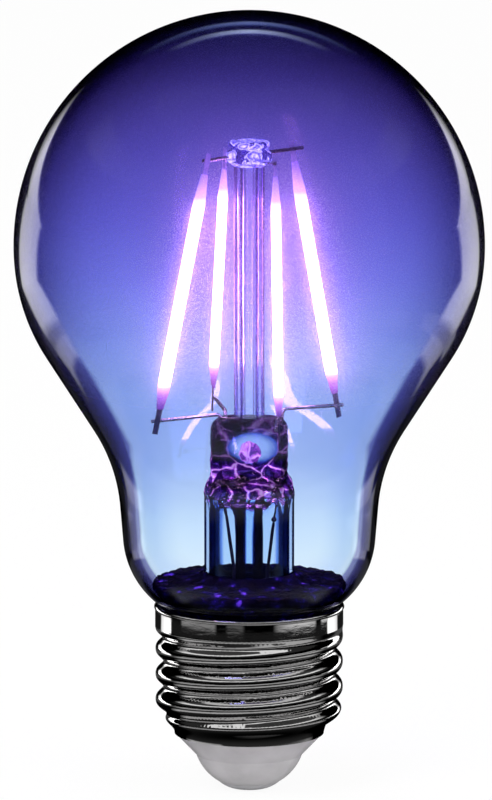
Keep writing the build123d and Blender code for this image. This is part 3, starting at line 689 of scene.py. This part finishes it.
def plastic(name, light, dark, rough_low, rough_high, scale, bump):
    """Moulding, satin plate or lacquer with a faint mottle between two tones."""
    material = bpy.data.materials.new(name)
    tree, shader, _ = tree_of(material)
    grain = noise_node(tree, scale, 6.0)
    tones = ramp_node(tree, grain.outputs[0], [(0.3, dark), (0.7, light)])
    tree.links.new(tones, shader.inputs["Base Color"])
    add_roughness(tree, shader, grain, rough_low, rough_high)
    add_bump(tree, shader, grain, 0.35, bump)
    return material


def cement_material():
    """Dark indigo cement with purple specks painted as highlights on the tops of its lumps."""
    material = bpy.data.materials.new("cement")
    tree, shader, _ = tree_of(material)
    lumps = noise_node(tree, 600.0, 6.0)
    # Painted highlights: the highest lumps turn purple.
    tones = ramp_node(
        tree,
        lumps.outputs[0],
        [(0.35, srgb(4, 1, 12)), (0.56, srgb(10, 4, 34)), (0.64, srgb(24, 10, 84)), (0.72, srgb(110, 60, 200))],
    )
    tree.links.new(tones, shader.inputs["Base Color"])
    shader.inputs["Specular IOR Level"].default_value = 0.05
    add_roughness(tree, shader, lumps, 0.45, 0.8)
    add_bump(tree, shader, lumps, 0.8, 0.4)
    return material


def polar(centre, radius, degrees):
    turn = math.radians(degrees)
    return (centre[0] + radius * math.cos(turn), centre[1] + radius * math.sin(turn))


def arc_points(centre, radius, first, last, step=ARC_STEP):
    count = max(2, round(abs(last - first) / step))
    return [polar(centre, radius, first + (last - first) * i / count) for i in range(count + 1)]


def solve_glass():
    """Centres of the four arcs of the bulb's outline and the direction of its rim."""
    crown = (0.0, CROWN_HEIGHT - CROWN_R)
    shoulder = polar(crown, CROWN_R - SHOULDER_R, CROWN_END)
    flank = polar((0, 0), 1, -FLANK_LEAN)
    side = polar((0, 0), 1, -NECK_LEAN)
    flank_reach = flank[0] * shoulder[0] + flank[1] * shoulder[1] + SHOULDER_R + NECK_CURVE_R
    side_reach = side[0] * NECK_R + side[1] * NECK_R_HEIGHT + NECK_CURVE_R
    cross = flank[0] * side[1] - flank[1] * side[0]
    neck = (
        (flank_reach * side[1] - side_reach * flank[1]) / cross,
        (flank[0] * side_reach - side[0] * flank_reach) / cross,
    )
    start_r = NECK_R - BASE_CURVE_R * side[0] - RIM_GLASS_R
    start_z = NECK_R_HEIGHT - BASE_CURVE_R * side[1] - RIM_GLASS_HEIGHT
    half_b = start_z * side[0] - start_r * side[1]
    slide = -half_b + math.sqrt(half_b**2 - start_r**2 - start_z**2 + BASE_CURVE_R**2)
    base = (start_r + RIM_GLASS_R - slide * side[1], start_z + RIM_GLASS_HEIGHT + slide * side[0])
    rim = math.degrees(math.atan2(RIM_GLASS_HEIGHT - base[1], RIM_GLASS_R - base[0]))
    return crown, shoulder, neck, base, rim


def glass_outline(inset):
    """Outline of the bulb as radius and height, from the crown to the rim."""
    crown, shoulder, neck, base, rim = solve_glass()
    points = arc_points(crown, CROWN_R - inset, 90, CROWN_END)
    points += arc_points(shoulder, SHOULDER_R - inset, CROWN_END, -FLANK_LEAN)[1:]
    points += arc_points(neck, NECK_CURVE_R + inset, 180 - FLANK_LEAN, 180 - NECK_LEAN)
    points += arc_points(base, BASE_CURVE_R - inset, -NECK_LEAN, rim)
    return points


def mesh_object(name, vertices, faces, material):
    mesh = bpy.data.meshes.new(name)
    mesh.from_pydata([(x * MM, y * MM, (z + RIM) * MM) for x, y, z in vertices], [], faces)
    mesh.update()
    mesh.validate()
    for polygon in mesh.polygons:
        polygon.use_smooth = True
    piece = bpy.data.objects.new(name, mesh)
    bpy.context.scene.collection.objects.link(piece)
    piece.data.materials.append(material)
    return piece


def lathe(name, profile, steps, material, closed=False, shift=None):
    """Turns (radius, height) points round the axis; a point on the axis becomes a pole."""
    vertices = []
    rings = []
    for index, (radius, height) in enumerate(profile):
        if radius < 1e-6:
            rings.append([len(vertices)])
            vertices.append((0, 0, height))
            continue
        ring = []
        for step in range(steps):
            turn = 2 * math.pi * step / steps
            place = (radius * math.cos(turn), radius * math.sin(turn), height)
            if shift:
                place = shift(place, index)
            ring.append(len(vertices))
            vertices.append(place)
        rings.append(ring)
    faces = []
    pairs = list(zip(rings, rings[1:]))
    if closed:
        pairs.append((rings[-1], rings[0]))
    for first, second in pairs:
        for step in range(steps):
            after = (step + 1) % steps
            if len(first) == 1:
                faces.append((first[0], second[step], second[after]))
            elif len(second) == 1:
                faces.append((first[step], second[0], first[after]))
            else:
                faces.append((first[step], second[step], second[after], first[after]))
    return mesh_object(name, vertices, faces, material)


def make_envelope():
    """The blown bulb as one closed skin, with a short skirt inside the cap's rim."""
    outer = glass_outline(0)
    inner = glass_outline(GLASS_WALL)
    skirt = [
        (SKIRT_R, SKIRT_TOP),
        (SKIRT_R, SKIRT_BOTTOM),
        (SKIRT_R - GLASS_WALL, SKIRT_BOTTOM),
        (SKIRT_R - GLASS_WALL, SKIRT_TOP),
    ]
    profile = [(0, CROWN_HEIGHT)] + outer[1:] + skirt + inner[::-1][:-1] + [(0, CROWN_HEIGHT - GLASS_WALL)]
    piece = lathe("bulb_glass", profile, ROUND_STEPS, envelope_glass())
    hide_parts("glass_envelope")
    return piece


def oval_row(half_x, half_y, height, power=ROUND_POWER):
    """Points of an oval; a power above 2 squares it off."""
    row = []
    for step in range(STEM_STEPS):
        turn = 2 * math.pi * step / STEM_STEPS
        cosine, sine = math.cos(turn), math.sin(turn)
        x = math.copysign(abs(cosine) ** (2 / power), cosine) * half_x
        y = math.copysign(abs(sine) ** (2 / power), sine) * half_y
        row.append((x, y, height))
    return row


def crinkled(row, depth):
    """Moves the points of a row along X and Y, most where the pincers folded the glass."""
    moved = []
    for x, y, z in row:
        fold = math.exp(-(((z - WRINKLE_HEIGHT) / WRINKLE_SPREAD) ** 2))
        upper = WRINKLE_UPPER_SHARE if z > PRESS_BOTTOM else 0.0
        amount = depth * max(fold, upper)
        coarse = noise.noise(Vector((x * 0.55, y * 0.8, z * 0.75)))
        fine = noise.noise(Vector((x * 1.5 + 7, y * 1.4, z * 1.7)))
        swell = 1 + amount * (coarse + WRINKLE_FINE_SHARE * fine) / WRINKLE_DAMPING
        moved.append((x * (1 + (swell - 1) * WRINKLE_WIDTH_SHARE), y * swell, z))
    return moved


def smooth_share(value, start, span):
    """0 before the start and 1 after the span, with a soft passage between them."""
    share = min(1, max(0, (value - start) / span))
    return share * share * (3 - 2 * share)


def stem_outside():
    """Rows of the stem's outer skin: flange, trumpet, tube, pinch, press and its rounded top."""
    trumpet = (FLARE_R + TRUMPET_R, FLANGE_TOP + TRUMPET_R)
    round_rows = FLANGE_OUTSIDE + arc_points(trumpet, TRUMPET_R, 270, 180, TRUMPET_STEP)
    round_rows += [(FLARE_R, height) for height in FLARE_ROWS]
    rows = [oval_row(radius, radius, height) for radius, height in round_rows]
    for index in range(PINCH_ROWS + 1):
        height = PINCH_START + index / PINCH_ROWS * (PINCH_END - PINCH_START)
        narrow = smooth_share(height, FLARE_SHOULDER, PRESS_BOTTOM - FLARE_SHOULDER)
        flat = smooth_share(height, PINCH_START, PRESS_BOTTOM + PINCH_LAG - FLARE_SHOULDER)
        half_x = FLARE_R + (PRESS_HALF_WIDTH - FLARE_R) * narrow
        half_y = FLARE_R + (PRESS_HALF_THICKNESS - FLARE_R) * flat
        power = ROUND_POWER + (PRESS_POWER - ROUND_POWER) * flat
        rows.append(crinkled(oval_row(half_x, half_y, height, power), WRINKLE_DEPTH))
    for index in range(PRESS_FLAT_ROWS):
        height = PRESS_FLAT_START + PRESS_FLAT_STEP * index
        row = oval_row(PRESS_HALF_WIDTH, PRESS_HALF_THICKNESS, height, PRESS_POWER)
        rows.append(crinkled(row, WRINKLE_DEPTH))
    corner = (PRESS_HALF_WIDTH - PRESS_CORNER_R, PRESS_TOP - PRESS_CORNER_R)
    for radius, height in arc_points(corner, PRESS_CORNER_R, 0, 90, PRESS_CORNER_STEP):
        roundness = math.sqrt(max(0, 1 - ((height - corner[1]) / PRESS_EDGE_REACH) ** 2))
        half_y = PRESS_HALF_THICKNESS * (PRESS_EDGE_SHARE + (1 - PRESS_EDGE_SHARE) * roundness)
        rows.append(crinkled(oval_row(radius, half_y, height, PRESS_TOP_POWER), WRINKLE_DEPTH))
    return rows


def stem_inside():
    """Rows of the stem's inner skin, up to the dome under the press."""
    trumpet = (FLARE_R + TRUMPET_R, FLANGE_TOP + TRUMPET_R)
    bore_r = FLARE_R - FLARE_WALL
    round_rows = FLANGE_INSIDE + arc_points(trumpet, TRUMPET_R + FLARE_WALL, 270, 180, TRUMPET_STEP)
    round_rows += [(bore_r, height) for height in BORE_ROWS]
    rows = [oval_row(radius, radius, height) for radius, height in round_rows]
    for index in range(DOME_ROWS):
        share = index / DOME_ROWS
        half_x = bore_r * math.sqrt(1 - (share * DOME_NARROWING) ** 2)
        half_y = bore_r * math.sqrt(1 - share**2) * (1 - DOME_FLATTENING * share)
        height = DOME_BOTTOM + (PRESS_BOTTOM - FLARE_WALL - DOME_BOTTOM) * share
        row = oval_row(half_x, max(half_y, DOME_HALF_THICKNESS), height)
        rows.append(crinkled(row, DOME_NARROWING * WRINKLE_DEPTH))
    return rows


def make_stem():
    """Flare tube, flange and press as one closed skin of oval rows, outside and inside."""
    outside = stem_outside()
    inside = stem_inside()
    vertices = [place for row in outside + inside for place in row]
    faces = []

    def bridge(first, second, flip):
        for step in range(STEM_STEPS):
            after = (step + 1) % STEM_STEPS
            face = (
                first * STEM_STEPS + step,
                first * STEM_STEPS + after,
                second * STEM_STEPS + after,
                second * STEM_STEPS + step,
            )
            faces.append(face[::-1] if flip else face)

    row_count = len(outside) + len(inside)
    for row in range(len(outside) - 1):
        bridge(row, row + 1, False)
    for row in range(len(outside), row_count - 1):
        bridge(row, row + 1, True)
    bridge(0, len(outside), True)
    top = len(vertices)
    vertices.append((0, 0, PRESS_TOP))
    roof = len(vertices)
    vertices.append((0, 0, PRESS_BOTTOM - FLARE_WALL))
    last_outer = (len(outside) - 1) * STEM_STEPS
    last_inner = (row_count - 1) * STEM_STEPS
    for step in range(STEM_STEPS):
        after = (step + 1) % STEM_STEPS
        faces.append((last_outer + step, last_outer + after, top))
        faces.append((last_inner + after, last_inner + step, roof))
    glass = tube_glass("flare_glass", srgb(228, 240, 255), 0.24, 0.36, 0.58)
    piece = mesh_object("stem_glass_flare", vertices, faces, glass)
    piece.data.materials.append(press_glass())
    for polygon in piece.data.polygons:
        if polygon.center.z / MM - RIM > FLARE_SHOULDER + 0.2:
            polygon.material_index = 1
    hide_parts("stem_flare")
    return piece


def make_bubble():
    """Faceted lump round the pump hole in the middle of the press."""
    vertices = []
    faces = []
    for ring in range(BUBBLE_RINGS + 1):
        down = math.pi * ring / BUBBLE_RINGS
        for step in range(BUBBLE_STEPS):
            turn = 2 * math.pi * step / BUBBLE_STEPS
            direction = Vector((math.sin(down) * math.cos(turn), math.sin(down) * math.sin(turn), math.cos(down)))
            size = 1 + BUBBLE_SWELL * noise.noise(direction * BUBBLE_LUMPS + Vector((3, 1, 5)))
            vertices.append(tuple(BUBBLE_CENTRE[i] + direction[i] * BUBBLE_SIZE[i] * size for i in range(3)))
    for ring in range(BUBBLE_RINGS):
        start, below = ring * BUBBLE_STEPS, (ring + 1) * BUBBLE_STEPS
        for step in range(BUBBLE_STEPS):
            after = (step + 1) % BUBBLE_STEPS
            faces.append((start + step, below + step, below + after, start + after))
    piece = mesh_object("pump_hole_lump", vertices, faces, bubble_glass())
    shape = bmesh.new()
    shape.from_mesh(piece.data)
    bmesh.ops.remove_doubles(shape, verts=shape.verts, dist=1e-6)
    shape.to_mesh(piece.data)
    shape.free()
    return piece


def make_cement(material):
    """Rough dark cement over the stem's flange: lumpy on top, with a ragged edge at the glass."""

    def lumpy(place, index):
        x, y, z = place
        if index == 0 or index > CEMENT_RINGS + 1:
            return place
        lump = noise.noise(Vector((x * 0.9, y * 0.9, 3.0))) + 0.7 * noise.noise(Vector((x * 2.6, y * 2.6, 9.0)))
        share = CEMENT_EDGE_SHARE if index > CEMENT_RINGS - CEMENT_EDGE_RINGS else CEMENT_MIDDLE_SHARE
        return (x, y, z + CEMENT_LUMP * share * lump)

    profile = []
    for index in range(CEMENT_RINGS + 1):
        share = index / CEMENT_RINGS
        heap = CEMENT_HEAP * math.exp(-share / CEMENT_HEAP_REACH)
        radius = CEMENT_EYE_R + (CEMENT_R - CEMENT_EYE_R) * share
        profile.append((radius, CEMENT_TOP - CEMENT_FALL * share + heap))
    profile += CEMENT_UNDERSIDE
    piece = lathe("rough_cement", profile, CEMENT_STEPS, material, closed=True, shift=lumpy)
    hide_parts("neck_cement")
    return piece


def paint(material, *names):
    """Gives carried-over nodes a material through their objects' slots."""
    for name in names:
        for material_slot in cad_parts[name].material_slots:
            material_slot.material = material


def turn_share(tree, vector):
    """Direction round the bulb, from 0 to 1, with 0.5 towards the camera, and the vector's rise."""
    split = tree.nodes.new("ShaderNodeSeparateXYZ")
    tree.links.new(vector, split.inputs["Vector"])
    flip = math_node(tree, "MULTIPLY", split.outputs["Y"], -1.0)
    turn = math_node(tree, "ARCTAN2", split.outputs["X"], flip)
    return span_node(tree, turn, -math.pi, math.pi), split.outputs["Z"]


def turn_from_camera(tree, turn):
    """Turn away from the camera's side, from 0 in front to 0.5 behind, alike on both sides."""
    return math_node(tree, "ABSOLUTE", math_node(tree, "SUBTRACT", turn, 0.5))


def ray_kinds(tree):
    """Shares of rays that came straight or through glass only, and of rays that were mirrored."""
    path = tree.nodes.new("ShaderNodeLightPath")
    mirrored = math_node(tree, "GREATER_THAN", path.outputs["Glossy Depth"], 0.5)
    direct = math_node(tree, "MAXIMUM", path.outputs["Is Camera Ray"], path.outputs["Is Transmission Ray"])
    clear = math_node(tree, "SUBTRACT", direct, mirrored, clamp=True)
    reflected = math_node(tree, "SUBTRACT", mirrored, path.outputs["Is Diffuse Ray"], clamp=True)
    return clear, reflected


def only_outside(tree, pattern):
    """The mirrored pattern for the outer glass and the cap; the stem sees dark, or light by inner bounces."""
    crossings = tree.nodes.new("ShaderNodeLightPath").outputs["Transmission Depth"]
    inside = math_node(tree, "GREATER_THAN", crossings, STEM_CROSSINGS)
    bounced = math_node(tree, "COMPARE", crossings, BOUNCE_CROSSINGS, BOUNCE_MARGIN)
    return mix_colours(tree, inside, pattern, mix_colours(tree, bounced, grey(0.0), BOUNCE_LIGHT))


def window(tree, turn, shift):
    """The tall window on each side, behind the bulb; shift moves both further back, in half turns."""
    side = turn_from_camera(tree, turn)
    moved = math_node(tree, "SUBTRACT", math_node(tree, "MULTIPLY", side, 2.0), shift)
    stops = [(106, 0.0), (109, 3.1), (118, 2.8), (126, 2.1), (131, 1.7), (134, 0.01)]
    light = ramp_node(tree, moved, greys(*[(degrees / 180, value) for degrees, value in stops]))
    fade = ramp_node(tree, side, greys((148 / 360, 1), (160 / 360, 0)))
    return times(tree, light, fade)


def cards(tree, turn):
    """Cards round the cap that its collar mirrors, in degrees from the camera's side."""
    stops = [
        (-180, 0.02), (-142, 0.02), (-138, 0.1), (-108, 0.08), (-104, 0.005), (-89, 0.005), (-86, 0.26),
        (-42, 0.20), (-38, 0.0), (-28, 0.0), (-24, 0.09), (-9, 0.09), (-5, 0.0), (28, 0.0), (34, 0.22),
        (58, 0.65), (84, 0.5), (87, 0.0), (94, 0.0), (97, 0.6), (138, 0.6), (142, 0.02),
    ]
    return ramp_node(tree, turn, greys(*[((degrees + 180) / 360, value) for degrees, value in stops]))


def make_world():
    """White to the camera and through glass; metal and gloss see a dark studio with a few windows."""
    world = bpy.data.worlds.new("studio")
    bpy.context.scene.world = world
    world.use_nodes = True
    tree = world.node_tree
    tree.nodes.clear()
    output = tree.nodes.new("ShaderNodeOutputWorld")
    directions = tree.nodes.new("ShaderNodeTexCoord").outputs["Generated"]
    turn, rise = turn_share(tree, directions)
    shift = math_node(tree, "MULTIPLY_ADD", rise, WINDOW_RISE / 180, WINDOW_SHIFT / 180)
    walls = window(tree, turn, shift)
    front = ramp_node(
        tree,
        rise,
        greys((0.0, 0.02), (0.44, 0.02), (0.47, 0.8), (0.60, 0.7), (0.64, 0.05), (0.80, 0.03), (0.84, 0.5), (1.0, 0.4)),
    )
    back = ramp_node(
        tree,
        rise,
        [
            (0.47, grey(0)),
            (0.51, (0.7, 0.9, 2.0, 1)),
            (0.54, (0.5, 0.7, 1.6, 1)),
            (0.58, grey(0)),
            (0.635, grey(0)),
            (0.66, (3.2, 3.8, 5.4, 1)),
            (0.69, (3.2, 3.8, 5.4, 1)),
            (0.71, grey(0)),
        ],
    )
    side = turn_from_camera(tree, turn)
    lines = times(tree, back, ramp_node(tree, side, greys((0.43, 0), (0.465, 0.3), (0.50, 1))))
    ceiling = mix_colours(tree, ramp_node(tree, side, greys((0.28, 1), (0.34, 0))), lines, front)
    ceiling_share = ramp_node(tree, rise, greys((0.0, 0), (0.17, 0), (0.21, 1)))
    gloss = mix_colours(tree, ceiling_share, walls, ceiling)
    clear, reflected = ray_kinds(tree)
    plain = mix_colours(tree, reflected, grey(STUDIO_GREY), only_outside(tree, gloss))
    seen = mix_colours(tree, clear, plain, grey(1.0))
    background = tree.nodes.new("ShaderNodeBackground")
    tree.links.new(seen, background.inputs["Color"])
    tree.links.new(background.outputs[0], output.inputs["Surface"])


def floor_pattern(tree):
    """What the bulb mirrors of the floor: rings close by, then the cards, then the windows' light."""
    place = object_place(tree)
    turn, _ = turn_share(tree, place)
    distance = length_node(tree, place)
    reach = span_node(tree, distance, 0.0, FLOOR_PATTERN_REACH * MM)
    rings = ramp_node(
        tree,
        reach,
        greys((0.0, 0.3), (0.03, 0.3), (0.045, 0.0), (0.13, 0.02), (0.15, 0.4), (0.20, 0.35), (0.23, 0.02),
              (0.35, 0.02), (0.385, 0.34), (0.60, 0.34), (0.64, 0.01), (0.74, 0.01)),
    )
    rings = times(tree, rings, ramp_node(tree, reach, greys((0.74, 1), (0.77, 0))))
    behind = ramp_node(tree, turn_from_camera(tree, turn), greys((0.24, 0), (0.28, 1)))
    dimmed = ramp_node(tree, reach, greys((0.28, 1), (0.33, 0.8), (0.62, 0.8), (0.66, 0)))
    near = mix_colours(tree, times(tree, behind, dimmed), rings, grey(0.0))
    card_share = ramp_node(tree, reach, greys((0.74, 0), (0.77, 1), (0.97, 1), (1.0, 0)))
    around = times(tree, cards(tree, turn), card_share)
    shift = span_node(tree, distance, WINDOW_NEAR * MM, WINDOW_FAR * MM, 0.0, WINDOW_SHIFT / 180)
    window_share = ramp_node(
        tree,
        reach,
        greys((0.55, 0), (0.60, 0.5), (0.74, 0.5), (0.78, 0.28), (0.86, 0.28), (1.0, 1)),
    )
    far = times(tree, window(tree, turn, shift), window_share)
    return mix_colours(tree, 1.0, mix_colours(tree, 1.0, near, around, "ADD"), far, "LIGHTEN")


def make_floor():
    """Plain white floor with a faint shadow; metal and gloss see the studio's pattern on it."""
    corners = [(-1, -1), (1, -1), (1, 1), (-1, 1)]
    mesh = bpy.data.meshes.new("floor")
    mesh.from_pydata([(x * FLOOR_HALF, y * FLOOR_HALF, 0) for x, y in corners], [], [(0, 1, 2, 3)])
    floor = bpy.data.objects.new("floor", mesh)
    bpy.context.scene.collection.objects.link(floor)
    material = bpy.data.materials.new("floor")
    material.use_nodes = True
    tree = material.node_tree
    tree.nodes.clear()
    output = tree.nodes.new("ShaderNodeOutputMaterial")
    diffuse = tree.nodes.new("ShaderNodeBsdfDiffuse")
    diffuse.inputs["Color"].default_value = grey(FLOOR_TONE)
    glow = tree.nodes.new("ShaderNodeEmission")
    clear, reflected = ray_kinds(tree)
    seen = mix_colours(tree, reflected, grey(1.0), only_outside(tree, floor_pattern(tree)))
    tree.links.new(seen, glow.inputs["Color"])
    share = math_node(tree, "MAXIMUM", math_node(tree, "MULTIPLY", clear, FLOOR_GLOW), reflected)
    mix_shaders(tree, share, diffuse, glow, output)
    floor.data.materials.append(material)


def make_lamp(name, place, size, power):
    """Soft lamp aimed at the bulb, which metal and glass don't mirror; sizes in metres, power in watts."""
    data = bpy.data.lights.new(name, "AREA")
    data.shape = "RECTANGLE"
    data.size, data.size_y = size
    data.energy = power
    lamp = bpy.data.objects.new(name, data)
    bpy.context.scene.collection.objects.link(lamp)
    lamp.location = place
    lamp.visible_glossy = False
    lamp.rotation_mode = "QUATERNION"
    lamp.rotation_quaternion = (LAMP_AIM - lamp.location).to_track_quat("-Z", "Y")


def make_camera():
    data = bpy.data.cameras.new("camera")
    data.sensor_width = SENSOR
    data.lens = FOCAL_PIXELS * SENSOR / IMAGE_HEIGHT
    data.clip_start, data.clip_end = CLIP_METRES
    camera = bpy.data.objects.new("camera", data)
    bpy.context.scene.collection.objects.link(camera)
    target = Vector((TARGET_X, 0, TARGET_HEIGHT + RIM)) * MM
    rise = math.radians(CAMERA_ELEVATION)
    back = Vector((0, -math.cos(rise), math.sin(rise)))
    camera.location = target + back * CAMERA_DISTANCE * MM
    camera.rotation_mode = "QUATERNION"
    camera.rotation_quaternion = (-back).to_track_quat("-Z", "Y")
    bpy.context.scene.camera = camera


# Glass and cement made here
cement_look = cement_material()
envelope = make_envelope()
stem = make_stem()
bubble = make_bubble()
cement = make_cement(cement_look)
for piece in (envelope, stem, bubble, cement):
    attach(piece, "root")

# Glass, cement and strips carried over from the solids
paint(column_glass(), "stem_column")
paint(crown_glass(), "column_crown")
paint(tube_glass("exhaust_glass", srgb(235, 245, 255), 0.05, 0.13, 0.60), "exhaust_tube")
paint(cement_look, "base_cement")
SIDES = ("left", "right", "front", "back")
paint(light_strip(), *[f"filament_{side}" for side in SIDES])

# Metal: colour, roughness from and to, grain per metre, bump
nickel = metal("nickel_shell", (0.86, 0.85, 0.85, 1), 0.015, 0.045, 260.0, 0.02, (1, 1, 3))
paint(nickel, "screw_shell")
wire = metal("nickel_wire", (0.60, 0.56, 0.62, 1), 0.15, 0.35, 900.0, 0.03, dark=(0.28, 0.24, 0.34, 1))
paint(wire, "top_wire_left_right", "top_wire_front_back", *[f"support_wire_{side}" for side in SIDES])
# Painted shade: the lower tabs are a dark violet copy of the tab metal.
shaded_tab = metal("tab_metal_shaded", (0.16, 0.13, 0.30, 1), 0.3, 0.5, 700.0, 0.03, dark=(0.04, 0.03, 0.12, 1))
paint(shaded_tab, *[f"lower_tab_{side}" for side in SIDES])
copper = metal("lead_copper", (0.05, 0.03, 0.07, 1), 0.3, 0.5, 800.0, 0.03, dark=(0.012, 0.008, 0.03, 1))
leads = ("seal_wire_left", "seal_wire_right", "outer_lead_left", "outer_lead_right", "neutral_wire", "live_wire")
paint(copper, *leads)

# Mouldings, satin plate and lacquer: light and dark tone, roughness from and to, grain per metre, bump, nodes
PLAIN_LOOKS = {
    # Painted light: the upper tabs are a pink-white copy of the tab metal, as if lit by the strips.
    "tab_metal": ((236, 214, 240), (204, 178, 214), 0.3, 0.5, 700.0, 0.03, [f"upper_tab_{side}" for side in SIDES]),
    "insulator": ((186, 184, 186), (170, 168, 170), 0.3, 0.5, 300.0, 0.02, ["insulator"]),
    "contact_metal": ((190, 189, 192), (174, 173, 177), 0.35, 0.5, 500.0, 0.02, ["centre_contact"]),
    "sleeve": ((225, 224, 218), (205, 204, 198), 0.4, 0.6, 300.0, 0.03, ["driver_sleeve"]),
    "board": ((30, 98, 54), (18, 70, 38), 0.3, 0.5, 500.0, 0.02, ["driver_board"]),
    "chip_case": ((38, 38, 42), (22, 22, 25), 0.45, 0.7, 1200.0, 0.03, ["bridge_rectifier", "driver_chip"]),
    "capacitor_can": ((40, 48, 92), (26, 32, 66), 0.25, 0.4, 400.0, 0.02, ["smoothing_capacitor"]),
    "resistor_body": ((120, 178, 170), (92, 150, 142), 0.25, 0.45, 500.0, 0.03, ["fuse_resistor"]),
}
for look, (light, dark, rough_low, rough_high, grain_scale, bump_height, nodes) in PLAIN_LOOKS.items():
    paint(plastic(look, srgb(*light), srgb(*dark), rough_low, rough_high, grain_scale, bump_height), *nodes)

# Studio
make_floor()
make_world()
make_lamp("key", (-0.5, -0.7, 0.9), (0.5, 0.5), 7.0)
make_lamp("fill", (0.8, -0.5, 0.5), (0.6, 0.9), 4.0)
make_camera()

scene = bpy.context.scene
scene.view_settings.view_transform = "Standard"
